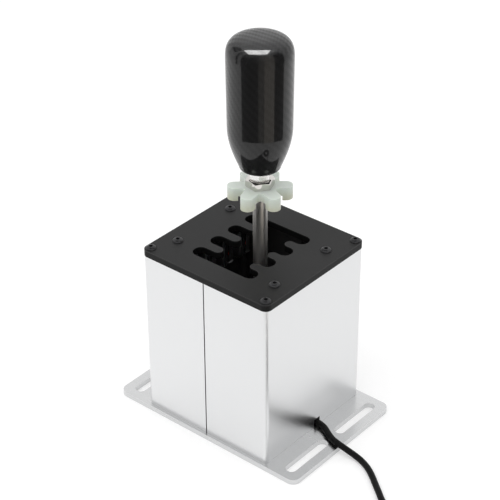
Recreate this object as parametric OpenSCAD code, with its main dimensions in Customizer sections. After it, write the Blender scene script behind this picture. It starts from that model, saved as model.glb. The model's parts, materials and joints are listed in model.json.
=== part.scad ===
// H-pattern gear shifter for a driving rig: a split aluminium housing on a slotted base plate,
// a steel gate plate, and a lever that swings on a cross shaft and slides along it between springs.
// Millimetres. X runs across the gate, Y from the driver towards the cable side, Z up.
// The origin is at the middle of the base plate's underside.

/* [Base plate] */
// Width across the gate
base_w = 109; // [106:1:125]
// Length along the throw
base_l = 162; // [154:1:190]
// Thickness
base_t = 4; // [4:0.5:8]
// Corner radius
base_corner_r = 6; // [2:0.5:10]
// Overall length of a mounting slot
mount_slot_l = 42; // [20:1:44]
// Width of a mounting slot
mount_slot_w = 8; // [5:0.5:10]
// Gap between the two slots at one end
mount_slot_gap = 12; // [10:1:16]
// From a slot's middle line to the end of the plate
mount_slot_edge = 11; // [9:0.5:14]

/* [Housing] */
// Outside width
housing_w = 103.5; // [102:0.5:106]
// Outside depth along the throw
housing_d = 108.5; // [106:0.5:116]
// Height between the two end plates
housing_h = 125; // [115:1:140]
// Wall of the extrusion
wall = 2.5; // [2:0.1:3]
// Outer radius of the upright corners
corner_r = 3; // [2.6:0.1:3.4]
// Gap between the two halves at the seam
seam_gap = 0.8; // [0.4:0.1:1.5]
// Width of the lip behind the seam
seam_lip = 7; // [5:0.5:12]
// Outside face to the middle of a screw port
port_inset = 4; // [3.8:0.1:4.6]
// Outer radius of a screw port
port_r = 3.4; // [3:0.1:3.8]
// Side of the square cable notch
notch_w = 6; // [5.5:0.1:8]

/* [Gate] */
// Thickness of the gate plate
plate_t = 5; // [4:0.5:7]
// How far the plate stands out past the housing
plate_overhang = 0.75; // [0:0.05:2]
// Corner radius of the plate
plate_corner_r = 5; // [3:0.5:8]
// Distance between neighbouring planes
pitch = 18.2; // [17.6:0.1:18.6]
// Width of a gate slot
gate_slot_w = 11; // [10.6:0.1:11.6]
// Corner radius at the end of a slot
slot_end_r = 5; // [1:0.5:5.2]
// Offset of the gate's middle from the housing's middle
gate_x = 2; // [0:0.1:3]
// From the neutral line to the rear fingertips
channel_rear = 10.5; // [8:0.5:13]
// From the neutral line to the front fingertips
channel_front = 15; // [8:0.5:16]
// Room left between the lever in gear and the end of its slot
slot_end_clear = 0.4; // [0.4:0.05:1.5]
// From the end of a slot to the screws that hold a switch rail
rail_screw_gap = 15.5; // [15:0.5:17]
// Room between a switch rail and the housing's wall
rail_wall_gap = 4.24; // [3:0.01:6]

/* [Lever] */
// Diameter of the lever rod
rod_d = 10; // [8:0.2:10.2]
// Height of the cross shaft's axis
shaft_z = 30; // [28:0.5:34]
// Diameter of the cross shaft
shaft_d = 10; // [8:0.5:10]
// Wall of the sliding sleeve
sleeve_wall = 2; // [1.5:0.1:2.5]
// Length of the sleeve with its flange and washer
sleeve_l = 15; // [14:0.5:15.5]
// Thickness of the sleeve's flange and of its washer
flange_t = 1.2; // [0.8:0.1:1.5]
// Diameter of the flange and of the washer
flange_d = 20; // [19:0.5:22]
// Outer diameter of the lever hub
hub_d = 26; // [24:0.5:28]
// Diameter of the hub's boss for the rod
boss_d = 16; // [15:0.5:18]
// Height of the boss above the shaft's axis
boss_h = 24; // [20:0.5:28]
// Thickness of the rod's lock nut
lock_nut_h = 6; // [4:0.5:8]

/* [Grip] */
// From the gate plate to the star wheel
star_gap = 34; // [25:1:45]
// Thickness of the star wheel
star_t = 9.5; // [7:0.5:12]
// Distance from the wheel's middle to its lobe tips
star_r = 22; // [20:0.5:25]
// Half width of a lobe
lobe_r = 4.8; // [4:0.1:5.2]
// Distance from the wheel's middle to the bottom of a valley
valley_r = 12; // [11.4:0.1:14]
// Turn of the wheel on the rod at rest, in degrees
star_turn = 11; // [0:1:59]
// Radius of the hollow under the wheel
star_hollow_r = 15.5; // [14:0.1:16.5]
// Depth of the hollow under the wheel
star_hollow_h = 3.5; // [1:0.5:5]
// Height of the wheel's hexagon
star_hub_h = 5.5; // [4:0.5:8]
// Width across the flats of the wheel's hexagon
star_hub_af = 19; // [17:0.5:22]
// Height of the hexagon under the grip
collar_h = 8; // [7:0.1:14]
// Width across the flats of the hexagon under the grip
collar_af = 13; // [12.4:0.1:15]
// Length of the grip
knob_l = 95; // [85:1:110]
// Largest radius of the grip
knob_r = 22.3; // [20:0.1:24]
// Radius of the grip's foot
knob_foot_r = 13.4; // [12.5:0.1:16]
// Height over which the grip swells
knob_swell_h = 31; // [25:1:40]
// Height of the grip's domed top
knob_dome_h = 16; // [13:1:25]
// Diameter of the threaded insert inside the grip
insert_d = 15; // [14:0.5:18]

/* [Switches] */
// Width of a switch across the gate
switch_w = 6.4; // [5.8:0.1:6.6]
// Depth of a switch along the throw
switch_d = 10; // [8.5:0.1:10.4]
// Height of a switch
switch_h = 20; // [18:0.5:21]
// Free lean of a switch arm, in degrees
arm_lean = 3; // [2:0.1:4]
// Width of a switch arm
arm_w = 3.6; // [3:0.1:3.8]
// Thickness of a switch arm
arm_t = 0.4; // [0.3:0.05:0.5]
// Thickness of a rail's flange and of its fins
rail_t = 3; // [2.4:0.1:3.4]

/* [Electronics] */
// Width of the controller board
board_w = 56; // [50:1:64]
// Depth of the controller board
board_d = 26; // [24:1:28]
// Height of the board's underside above the base plate
board_h = 8; // [7.6:0.1:10]
// Diameter of the cable
cable_d = 4.5; // [4:0.1:5]
// Turns in each layer of the stowed coil
coil_turns = 4; // [2:1:5]
// Distance between neighbouring turns
coil_step = 5; // [5:0.1:6]
// Radius of the outermost turn
coil_out_r = 37; // [34:1:45]

/* [Hidden] */
$fn = 64;

// Clearances: running fits, fixed fits, and faces that pass each other
run = 0.05;
seat = 0.02;
pass = 0.3;

// Screw sizes: shanks are drawn at the thread's core
m4_core_r = 1.65;
m4_tap_r = 1.7;
m4_hole_r = 2.2;
m4_head_r = 3.8;
m4_head_h = 2.2;
m4_sink_r = 4;
m4_bite = 14;
m3_core_r = 1.2;
m3_tap_r = 1.25;
m3_head_r = 2.6;
m2_core_r = 0.9;
m2_tap_r = 0.95;
m2_head_r = 1.9;
sink_slack = 0.1;

// Levels and main places
housing_top = base_t + housing_h;
plate_top = housing_top + plate_t;
plate_w = housing_w + 2 * plate_overhang;
plate_l = housing_d + 2 * plate_overhang;
inner_w = housing_w - 2 * wall;
inner_d = housing_d - 2 * wall;
port_x = housing_w / 2 - port_inset;
port_y = housing_d / 2 - port_inset;
lip_t = 0.8;
mount_x = mount_slot_gap / 2 + mount_slot_l / 2;
mount_y = base_l / 2 - mount_slot_edge;
columns = [for (i = [0:3]) gate_x + (i - 1.5) * pitch];
rest_x = columns[1];
rod_r = rod_d / 2;
finger_r = (pitch - gate_slot_w) / 2;
rail_edge = 5;
rail_screw_y = inner_d / 2 - rail_wall_gap - rail_edge;
gate_reach = rail_screw_y - rail_screw_gap;

// Swing of the lever each way, in degrees, that takes it to the end of a slot
lever_h = plate_top - shaft_z;
lever_out = gate_reach - slot_end_clear;
throw = acos(rod_r / norm([lever_out, lever_h])) - atan2(lever_h, lever_out);
function lever_reach(z) = (z - shaft_z) * tan(throw) + rod_r / cos(throw);

// Switches hang under the gate, with their arms just past the lever's reach
arm_tip_z = housing_top - 0.7;
arm_l = 23.3;
arm_pin_z = arm_tip_z - arm_l;
arm_pin_y = lever_reach(arm_tip_z) + pass + arm_t / 2 + arm_l * sin(arm_lean);
arm_barrel_r = 0.8;
arm_pin_r = 0.4;
plunger_r = 1.5;
plunger_out = 0.4;
plunger_z = arm_pin_z + 7;
switch_y = arm_pin_y + 0.8;
switch_z = arm_pin_z - 2;
ear_t = 1.1;
switch_hole_dz = 9.5;
switch_hole_y = switch_y + 0.68 * switch_d;
fin_x = switch_w / 2 + 0.2;
fin_d = switch_d + 2.5;
fin_end = switch_y + fin_d;
terminal_l = 4;
terminal_w = 3;
terminal_t = 0.6;
rail_margin = 8;
flange_y = fin_end - 5;
flange_end = rail_screw_y + rail_edge;

// Cross shaft, its blocks and what slides on it
block_t = 5.5;
block_r = 12;
block_x = inner_w / 2 - lip_t - pass - block_t / 2;
block_screw_y = 7;
block_face = block_x - block_t / 2;
sleeve_r = shaft_d / 2 + sleeve_wall;
hub_w = sleeve_l - 2 * flange_t - 0.2;
rod_foot = shaft_z + sleeve_r + 1.5;
spring_r = 8;
spring_wire = 1;
spring_clear = 0.3;

// Heights of the grip's pieces along the lever
star_z = plate_top + star_gap;
star_top = star_z + star_t;
collar_z = star_top + star_hub_h + pass;
knob_z = collar_z + collar_h;
insert_up = 34;
rod_top = knob_z + insert_up - 10;
star_bush_r = 8;
valley_d = 2 * (valley_r - lobe_r);
valley_cut_r = valley_d / 2 - lobe_r;
valley_ease = 0.05;
web_bite = 0.4;

// Electronics
board_t = 1.6;
board_z = base_t + board_h;
board_y = inner_d / 2 - 6.75 - board_d / 2;
standoff_r = 2.75;
standoff_in = 3.5;
cable_r = cable_d / 2;
cable_x = -4;
cable_z = base_t + cable_r + 0.25;
connector_w = 10;
connector_d = 6;
connector_y = board_y + board_d / 2 - 1;
clamp_t = 4;
clamp_screw_x = cable_x + cable_r + 4.5;
clamp_h = 7;
clamp_y = inner_d / 2 - 4;
loom_r = 2;
loom_x = columns[3] + fin_x + rail_t / 2;
front_loom_x = columns[0] + fin_x + rail_t / 2;
loom_y = fin_end + pass + loom_r;
header_w = 12;
header_d = 5;
header_h = 6;
header_x = 14;

// Cable on the floor: hand-chosen points from the notch to the coil
floor_z = cable_r + 0.05;
cable_route = [[-4, 44, 0], [-4, 50, 0], [-4, 56, 0], [-2.5, 62, 0], [1, 68, 0], [4, 74, 0],
               [5.5, 80, 0]];
floor_route = [[5.5, 88, 5], [5, 95, 3], [6, 101, 2.3], [9, 108, 2.3], [13.5, 115, 2.3],
               [19, 122, 2.3], [24.5, 129, 2.3], [30, 136, 2.3], [34, 144, 2.4],
               [36.5, 151, 2.7], [37.7, 158, 3.1]];

// Stowed coil: in along the floor layer, up, and out along the top layer
coil_x = 75;
coil_y = 174;
coil_in_angle = 180;
coil_z = 3.3;
coil_rings = 24;
coil_in_r = coil_out_r - coil_turns * coil_step;
tie_t = 0.7;
tie_w = 9;
tie_angle = 60;
plug_lead = 30;
plug_z = 4.4;
plug_w = 15.5;
plug_h = 8;
plug_l = 26;
shell_w = 12;
shell_h = 4.5;
shell_l = 12;
shell_wall = 0.4;
boot_l = 11;
boot_r = 3.4;

// Small helpers

module rounded_rect(w, l, r) {
    square([w - 2 * r, l], center = true);
    square([w, l - 2 * r], center = true);
    for (x = [-1, 1], y = [-1, 1])
        translate([x * (w / 2 - r), y * (l / 2 - r)]) circle(r);
}

module slot_shape(l, w) {
    square([l - w, w], center = true);
    for (x = [-1, 1]) translate([x * (l - w) / 2, 0]) circle(w / 2);
}

module four(x, y) {
    for (sx = [-1, 1], sy = [-1, 1]) translate([sx * x, sy * y]) children();
}

module hexagon(af, h) {
    cylinder(r = af / 2 / cos(30), h = h, $fn = 6);
}

// A round rod along X, centred on the origin
module rod_x(r, l) {
    rotate([0, 90, 0]) cylinder(r = r, h = l, center = true);
}

// Button-head screw with its head's underside at the origin
module button_screw(shank_l) {
    socket_af = 2.5;
    socket_h = 1.3;
    difference() {
        rotate_extrude() polygon(concat([[0, 0]],
            [for (a = [0:15:75]) [m4_head_r * cos(a), m4_head_h * sin(a)]],
            [[0, m4_head_h]]));
        translate([0, 0, m4_head_h - socket_h]) hexagon(socket_af, socket_h + 1);
    }
    translate([0, 0, -shank_l]) cylinder(r = m4_core_r, h = shank_l);
}

// Countersunk screw pointing up, flush with the plane through the origin
module sunk_screw(head_r, core_r, l) {
    socket_af = 2.5;
    difference() {
        union() {
            translate([0, 0, sink_slack])
                cylinder(r1 = head_r, r2 = core_r, h = head_r - core_r);
            translate([0, 0, sink_slack + head_r - core_r - 0.01])
                cylinder(r = core_r, h = l - sink_slack - head_r + core_r);
        }
        translate([0, 0, -1]) hexagon(socket_af, 2.3);
    }
}

// Countersunk hole from below, right through a plate
module sunk_hole(head_r, hole_r, t) {
    rim = head_r + 2 * sink_slack;
    translate([0, 0, -0.01]) cylinder(r1 = rim, r2 = hole_r, h = rim - hole_r);
    translate([0, 0, -1]) cylinder(r = hole_r, h = t + 2);
}

// Small pan-head screw with its head's underside at the origin
module pan_screw(head_r, core_r, l) {
    cylinder(r = head_r, h = 0.6 * head_r);
    translate([0, 0, -l]) cylinder(r = core_r, h = l + 0.1);
}

// Smooth curve through points, and a closed tube swept along it

function unit(v) = v / norm(v);
function at(p, i) = p[max(0, min(len(p) - 1, i))];
function curve_point(p, i, t) =
    let (a = at(p, i - 1), b = at(p, i), c = at(p, i + 1), d = at(p, i + 2))
    0.5 * (2 * b + (c - a) * t + (2 * a - 5 * b + 4 * c - d) * t * t
           + (3 * b - a - 3 * c + d) * t * t * t);
function smooth(p, n) = concat([for (i = [0:len(p) - 2], k = [0:n - 1]) curve_point(p, i, k / n)],
                               [p[len(p) - 1]]);
function heading(p, i) = unit(at(p, i + 1) - at(p, i - 1));
function ring(p, i, r, sides, up) =
    let (f = heading(p, i), s = unit(cross(f, up)), u = cross(s, f))
    [for (k = [0:sides - 1]) p[i] + r * (cos(360 * k / sides) * s + sin(360 * k / sides) * u)];

module tube(p, r, sides, up) {
    n = len(p);
    points = concat([for (i = [0:n - 1]) each ring(p, i, r, sides, up)], [p[0], p[n - 1]]);
    walls = [for (i = [0:n - 2], k = [0:sides - 1])
        let (a = i * sides + k, b = i * sides + (k + 1) % sides)
        each [[a, a + sides, b], [b, a + sides, b + sides]]];
    start = [for (k = [0:sides - 1]) [n * sides, k, (k + 1) % sides]];
    end = [for (k = [0:sides - 1])
        [n * sides + 1, (n - 1) * sides + (k + 1) % sides, (n - 1) * sides + k]];
    polyhedron(points, concat(walls, start, end));
}

// Frame and gate

module base_plate() color("gainsboro") difference() {
    linear_extrude(base_t) difference() {
        rounded_rect(base_w, base_l, base_corner_r);
        four(mount_x, mount_y) slot_shape(mount_slot_l, mount_slot_w);
    }
    four(port_x, port_y) sunk_hole(m4_sink_r, m4_hole_r, base_t);
    four(block_x, block_screw_y) sunk_hole(m4_sink_r, m4_hole_r, base_t);
    standoff_places() translate([0, 0, -1]) cylinder(r = m3_core_r + run, h = base_t + 2);
    translate([clamp_screw_x, clamp_y, -1]) cylinder(r = m3_tap_r, h = base_t + 2);
}

// Plan of one half of the housing: three walls and two screw ports
module half_plan() {
    difference() {
        union() {
            difference() {
                rounded_rect(housing_w, housing_d, corner_r);
                square([inner_w, inner_d], center = true);
            }
            for (x = [-1, 1]) translate([x * port_x, port_y]) circle(port_r);
        }
        translate([0, -housing_d / 2 + seam_gap / 2])
            square([housing_w + 2, housing_d], center = true);
        for (x = [-1, 1]) translate([x * port_x, port_y]) circle(m4_tap_r);
    }
}

module housing_rear() color("silver") translate([0, 0, base_t]) {
    lip_clear = 0.1;
    linear_extrude(housing_h) {
        mirror([0, 1]) half_plan();
        for (x = [0, 1]) mirror([x, 0]) {
            translate([inner_w / 2 - lip_t, -seam_lip / 2]) square([lip_t - lip_clear, seam_lip]);
            translate([inner_w / 2 - lip_t, -seam_lip / 2])
                square([lip_t + lip_clear, (seam_lip - seam_gap) / 2]);
        }
    }
}

module housing_front() color("silver") translate([0, 0, base_t]) difference() {
    linear_extrude(housing_h) half_plan();
    translate([cable_x - notch_w / 2, inner_d / 2 - 1, -1])
        cube([notch_w, wall + 2, notch_w + 1]);
}

// The gate: four slots each way off a wide channel, with rounded fingers between them
module gate_opening() {
    span = 3 * pitch + gate_slot_w;
    difference() {
        union() {
            for (x = columns)
                translate([x, 0]) rounded_rect(gate_slot_w, 2 * gate_reach, slot_end_r);
            translate([gate_x - span / 2, -channel_rear - finger_r])
                square([span, channel_rear + channel_front + 2 * finger_r]);
        }
        for (i = [0:2], y = [-channel_rear - finger_r, channel_front + finger_r])
            translate([(columns[i] + columns[i + 1]) / 2, y]) circle(finger_r);
    }
}

module rail_screw_places() {
    for (x = [columns[0], columns[3]], y = [-1, 1]) translate([x, y * rail_screw_y]) children();
}

module gate_plate() color([0.12, 0.12, 0.13]) translate([0, 0, housing_top])
    linear_extrude(plate_t) difference() {
        rounded_rect(plate_w, plate_l, plate_corner_r);
        gate_opening();
        four(port_x, port_y) circle(m4_hole_r);
        rail_screw_places() circle(m4_hole_r);
    }

module gate_corner_screws() color([0.1, 0.1, 0.1])
    four(port_x, port_y) translate([0, 0, plate_top]) button_screw(plate_t + m4_bite);

module rail_screws() color([0.1, 0.1, 0.1])
    rail_screw_places() translate([0, 0, plate_top]) button_screw(plate_t + rail_t);

module base_screws() color("dimgray")
    four(port_x, port_y) sunk_screw(m4_sink_r, m4_core_r, base_t + m4_bite);

// Switch rails, drawn on the front side and mirrored to the rear

module rail() color("darkgray") difference() {
    first = columns[0] - rail_margin;
    union() {
        translate([first, flange_y, housing_top - rail_t])
            cube([3 * pitch + 2 * rail_margin, flange_end - flange_y, rail_t]);
        for (x = columns)
            translate([x + fin_x, switch_y + 1, switch_z - 1])
                cube([rail_t, fin_d - 1, housing_top - switch_z + 1]);
    }
    for (x = [columns[0], columns[3]])
        translate([x, rail_screw_y, housing_top - rail_t - 1]) cylinder(r = m4_tap_r, h = rail_t + 2);
    for (x = columns) switch_holes(x) rod_x(m2_tap_r, 2 * pitch);
}

module rear_switch_rail() mirror([0, 1, 0]) rail();
module front_switch_rail() rail();

// Places of the two screws through a switch's side
module switch_holes(x) {
    for (s = [-1, 1])
        translate([x, switch_hole_y, switch_z + switch_h / 2 + s * switch_hole_dz / 2]) children();
}

// Snap-action switch: a block with two ears and the pin that its arm turns on
module switch_block(x) color([0.15, 0.15, 0.16]) {
    difference() {
        translate([x - switch_w / 2, switch_y, switch_z]) cube([switch_w, switch_d, switch_h]);
        switch_holes(x) rod_x(m2_tap_r + 0.1, switch_w + 2);
    }
    for (s = [-1, 1]) translate([x + s * (arm_w / 2 + 0.1 + ear_t / 2), 0, 0]) ear();
    translate([x, arm_pin_y, arm_pin_z]) rod_x(arm_pin_r, arm_w + 0.2 + ear_t);
}

module ear() {
    translate([-ear_t / 2, arm_pin_y, arm_pin_z - arm_barrel_r])
        cube([ear_t, switch_y - arm_pin_y + 0.1, 2 * arm_barrel_r]);
    translate([0, arm_pin_y, arm_pin_z]) rod_x(arm_barrel_r, ear_t);
}

module rear_switches() for (x = columns) mirror([0, 1, 0]) switch_block(x);
module front_switches() for (x = columns) switch_block(x);

module both_sides() {
    children();
    mirror([0, 1, 0]) children();
}

module switch_plungers() color("firebrick") both_sides() for (x = columns)
    translate([x, switch_y - plunger_out, plunger_z]) rotate([-90, 0, 0])
        cylinder(r = plunger_r, h = plunger_out);

module switch_terminals() color("goldenrod") both_sides()
    for (x = columns, z = [0.15, 0.5, 0.85])
        translate([x - terminal_w / 2, switch_y + switch_d, switch_z + z * switch_h])
            cube([terminal_w, terminal_l, terminal_t]);

module switch_screws() color("gainsboro") both_sides() for (x = columns)
    switch_holes(x) translate([-switch_w / 2, 0, 0]) rotate([0, -90, 0])
        pan_screw(m2_head_r, m2_core_r, switch_w + rail_t);

// Sprung arm of one switch, front side: a strip that leans towards the lever from its pin
module arm(x) color("lightgray") translate([x, arm_pin_y, arm_pin_z]) rotate([arm_lean, 0, 0])
    difference() {
        union() {
            rod_x(arm_barrel_r, arm_w);
            translate([-arm_w / 2, -arm_t / 2, 0]) cube([arm_w, arm_t, arm_l]);
        }
        rod_x(arm_pin_r + run, arm_w + 1);
    }

module arm_gear_1() arm(columns[0]);
module arm_gear_2() mirror([0, 1, 0]) arm(columns[0]);
module arm_gear_3() arm(columns[1]);
module arm_gear_4() mirror([0, 1, 0]) arm(columns[1]);
module arm_gear_5() arm(columns[2]);
module arm_gear_6() mirror([0, 1, 0]) arm(columns[2]);
module arm_gear_7() arm(columns[3]);
module arm_reverse() mirror([0, 1, 0]) arm(columns[3]);

// Cross shaft and slide

module pivot_block(x) color("silver") translate([x, 0, 0]) difference() {
    rotate([90, 0, 90]) translate([0, 0, -block_t / 2]) linear_extrude(block_t) {
        translate([-block_r, base_t]) square([2 * block_r, shaft_z - base_t]);
        translate([0, shaft_z]) circle(block_r);
    }
    translate([0, 0, shaft_z]) rod_x(shaft_d / 2 + seat, block_t + 2);
    translate([0, 0, shaft_z]) cylinder(r = m4_tap_r, h = block_r + 1);
    for (y = [-1, 1])
        translate([0, y * block_screw_y, base_t - 1]) cylinder(r = m4_tap_r, h = m4_bite + 1.5);
}

module left_pivot_block() pivot_block(-block_x);
module right_pivot_block() pivot_block(block_x);

module block_screws() color("dimgray")
    four(block_x, block_screw_y) sunk_screw(m4_sink_r, m4_core_r, base_t + m4_bite);

module shaft_set_screws() color("dimgray") for (x = [-1, 1])
    translate([x * block_x, 0, shaft_z + shaft_d / 2 + run]) difference() {
        cylinder(r = m4_core_r, h = block_r - shaft_d / 2 - 1);
        translate([0, 0, 3]) hexagon(2, block_r);
    }

module cross_shaft() color("lightgray") translate([0, 0, shaft_z])
    rod_x(shaft_d / 2, 2 * block_x + block_t);

module slide_sleeve() color("darkgoldenrod") translate([rest_x, 0, shaft_z]) difference() {
    union() {
        rod_x(sleeve_r, sleeve_l);
        translate([(flange_t - sleeve_l) / 2, 0, 0]) rod_x(flange_d / 2, flange_t);
    }
    rod_x(shaft_d / 2 + run, sleeve_l + 2);
}

module thrust_washer() color("darkgoldenrod")
    translate([rest_x + (sleeve_l - flange_t) / 2, 0, shaft_z]) difference() {
        rod_x(flange_d / 2, flange_t);
        rod_x(sleeve_r + seat, flange_t + 1);
    }

// Centring spring from one X to another, as one unbroken helix
module spring(from, to, curls) {
    rings_per_curl = 8;
    n = curls * rings_per_curl;
    half_wire = spring_wire / 2 + spring_clear;
    travel = to - from - 2 * half_wire;
    path = [for (i = [0:n]) let (a = 360 * i / rings_per_curl)
        [from + half_wire + travel * i / n, spring_r * cos(a), shaft_z + spring_r * sin(a)]];
    color("silver") tube(path, spring_wire / 2, 6, [1, 0, 0]);
}

module left_spring() spring(-block_face, rest_x - sleeve_l / 2, 4);
module right_spring() spring(rest_x + sleeve_l / 2, block_face, 4);

// Lever and grip, upright in the second plane

module lever_hub() color("silver") translate([rest_x, 0, shaft_z]) difference() {
    union() {
        rod_x(hub_d / 2, hub_w);
        translate([0, 0, flange_d / 2 + 1]) cylinder(d = boss_d, h = boss_h - flange_d / 2 - 1);
    }
    rod_x(sleeve_r + run, hub_w + boss_d);
    translate([0, 0, rod_foot - shaft_z - 0.2]) cylinder(r = rod_r + seat, h = boss_h);
}

module lever_rod() color("lightgray") translate([rest_x, 0, rod_foot])
    cylinder(r = rod_r, h = rod_top - rod_foot);

module rod_lock_nut() color("silver") translate([rest_x, 0, shaft_z + boss_h]) difference() {
    hexagon(16, lock_nut_h);
    translate([0, 0, -1]) cylinder(r = rod_r + seat, h = lock_nut_h + 2);
}

// Six-lobed outline: straight lobes with round tips, and round valleys that meet them smoothly
module star_outline() {
    difference() {
        union() {
            for (a = [0:60:300]) rotate(a) {
                translate([0, -lobe_r]) square([star_r - lobe_r, 2 * lobe_r]);
                translate([star_r - lobe_r, 0]) circle(lobe_r);
            }
            polygon([for (a = [30:60:330], s = [-1, 1])
                let (x = valley_d - valley_cut_r / 2, y = s * (valley_cut_r * cos(30) + web_bite))
                [x * cos(a) - y * sin(a), x * sin(a) + y * cos(a)]]);
        }
        for (a = [30:60:330]) rotate(a) translate([valley_d, 0]) circle(valley_cut_r - valley_ease);
    }
}

module star_wheel() color([0.88, 0.92, 0.86]) translate([rest_x, 0, star_z]) difference() {
    linear_extrude(star_t) difference() {
        rotate(star_turn) star_outline();
        circle(star_bush_r + seat);
    }
    translate([0, 0, -1]) cylinder(r = star_hollow_r, h = star_hollow_h + 1);
}

module star_hub() color("silver") translate([rest_x, 0, star_z]) difference() {
    union() {
        cylinder(r = star_bush_r, h = star_t + 1);
        translate([0, 0, star_t]) hexagon(star_hub_af, star_hub_h);
    }
    translate([0, 0, -1]) cylinder(r = rod_r + run, h = star_t + star_hub_h + 2);
}

module knob_insert() color("silver") translate([rest_x, 0, collar_z]) difference() {
    union() {
        hexagon(collar_af, collar_h);
        translate([0, 0, collar_h]) cylinder(d = insert_d, h = insert_up);
    }
    translate([0, 0, -1]) cylinder(r = rod_r + seat, h = rod_top - collar_z + 1.2);
}

// Half section of the grip: a soft foot, a swelling body and a domed top
knob_edge_r = 2;
knob_flare = 0.5;
knob_dome_power = 3.3;
knob_dome_z = knob_l - knob_dome_h;
function knob_body_r(z) = z < knob_swell_h
    ? knob_foot_r + (knob_r - knob_flare - knob_foot_r) * sin(90 * z / knob_swell_h)
    : knob_r - knob_flare * (1 - (z - knob_swell_h) / (knob_dome_z - knob_swell_h));
function knob_dome_r(u) = knob_r * pow(1 - pow(u, knob_dome_power), 1 / knob_dome_power);
knob_foot = [for (a = [-90:15:-15])
    [knob_body_r(knob_edge_r) - knob_edge_r * (1 - cos(a)), knob_edge_r * (1 + sin(a))]];
knob_body = [for (i = [0:12]) let (z = knob_edge_r + i / 12 * (knob_dome_z - knob_edge_r))
    [knob_body_r(z), z]];
knob_dome = [for (i = [1:11]) let (u = sin(90 * i / 12))
    [knob_dome_r(u), knob_dome_z + u * knob_dome_h]];

module knob() color([0.13, 0.13, 0.14]) translate([rest_x, 0, knob_z]) difference() {
    rotate_extrude() polygon(concat([[0, 0]], knob_foot, knob_body, knob_dome, [[0, knob_l]]));
    translate([0, 0, -1]) cylinder(r = insert_d / 2 + seat, h = insert_up + 1.2);
}

// Electronics

module standoff_places() {
    translate([0, board_y]) four(board_w / 2 - standoff_in, board_d / 2 - standoff_in) children();
}

module controller_board() color("darkgreen") translate([0, 0, board_z])
    linear_extrude(board_t) difference() {
        translate([0, board_y]) square([board_w, board_d], center = true);
        standoff_places() circle(m3_core_r + 0.3);
    }

// Controller chip and the two loom headers on the board
module board_parts() color([0.12, 0.12, 0.12]) translate([0, board_y, board_z + board_t]) {
    chip_w = 9;
    header_y = header_d / 2 - board_d / 2 + 0.5;
    translate([-chip_w / 2, -chip_w / 2, 0]) cube([chip_w, chip_w, 1.4]);
    for (x = [-1, 1])
        translate([x * header_x - header_w / 2, header_y - header_d / 2 + (1 - x) / 2 * 10, 0])
            cube([header_w, header_d, header_h]);
}

module board_standoffs() color("gold") standoff_places() difference() {
    union() {
        translate([0, 0, base_t]) cylinder(r = standoff_r, h = board_h);
        translate([0, 0, 0.5]) cylinder(r = m3_core_r, h = base_t);
    }
    translate([0, 0, board_z - 5]) cylinder(r = m3_tap_r, h = 6);
}

module board_screws() color("silver") standoff_places()
    translate([0, 0, board_z + board_t]) pan_screw(m3_head_r, m3_core_r, board_t + 4);

module cable_connector() color("ivory")
    translate([cable_x - connector_w / 2, connector_y - connector_d, base_t + 0.2])
        cube([connector_w, connector_d, board_h - 0.2]);

module cable_clamp() color([0.15, 0.15, 0.15]) difference() {
    translate([cable_x - cable_r - 2.5, clamp_y - clamp_t / 2, base_t])
        cube([cable_d + 10, clamp_t, clamp_h]);
    translate([cable_x, clamp_y, cable_z]) rotate([90, 0, 0])
        cylinder(r = cable_r + run, h = clamp_t + 2, center = true);
    translate([cable_x - cable_r - run, clamp_y - clamp_t / 2 - 1, base_t - 1])
        cube([cable_d + 2 * run, clamp_t + 2, cable_z - base_t + 1]);
    translate([clamp_screw_x, clamp_y, base_t - 1])
        cylinder(r = m3_core_r + 0.3, h = clamp_h + 2);
}

module clamp_screw() color("silver")
    translate([clamp_screw_x, clamp_y, base_t + clamp_h])
        pan_screw(1.8, m3_core_r, clamp_h + base_t - 0.5);

// Wire looms from the switch rails down to the board's headers, as hand-chosen bends
loom_top = switch_z + switch_h - 2;
loom_drop = 30;
header_top = board_z + board_t + header_h;
header_side = board_y - board_d / 2;
loom_seat = 0.2;
curl_z = [30, 14, 8, 7.5, 9];
curl_y = [3, 12, -10, 6];
curl_x = [3, 8];
header_run = 6;
header_dip = [4, 3];
fall_z = [60, 40, 8];
fall_y = [2, 4, 0.5];
rear_loom_route = [[loom_x, -loom_y, loom_top], [loom_x, -loom_y, loom_top - loom_drop],
                   [loom_x, -loom_y, curl_z[0]], [loom_x, -loom_y + curl_y[0], curl_z[1]],
                   [loom_x - curl_x[0], -loom_y + curl_y[1], curl_z[2]],
                   [loom_x - curl_x[1], curl_y[2], curl_z[3]], [header_x, curl_y[3], curl_z[4]],
                   [header_x, header_side - header_run, header_top - header_dip[0]],
                   [header_x, header_side + loom_seat, header_top - header_dip[1]]];
front_loom_route = [[front_loom_x, loom_y, loom_top], [front_loom_x, loom_y, loom_top - loom_drop],
                    [-header_x, loom_y - fall_y[0], fall_z[0]],
                    [-header_x, board_y + fall_y[1], fall_z[1]],
                    [-header_x, board_y + fall_y[2], header_top + fall_z[2]],
                    [-header_x, board_y + fall_y[2], header_top + loom_seat]];

module rear_loom() color([0.1, 0.1, 0.1]) tube(smooth(rear_loom_route, 4), loom_r, 8, [1, 0, 0]);
module front_loom() color([0.1, 0.1, 0.1]) tube(smooth(front_loom_route, 4), loom_r, 8, [1, 0, 0]);

// Cable, coil and plug

free_route = concat([for (p = cable_route) [p[0], p[1], cable_z]], floor_route);
coil_foot = [coil_x - coil_out_r, coil_y, coil_z];
coil_lead = [for (k = [2, 1]) coil_foot - [0, k * cable_d, 0]];
usb_route = concat(smooth(concat(free_route, [coil_lead[0]]), 2), [coil_lead[1]]);

module usb_cable() color([0.06, 0.06, 0.06])
    tube(usb_route, cable_r, 10, [0, 0, 1]);

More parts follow.
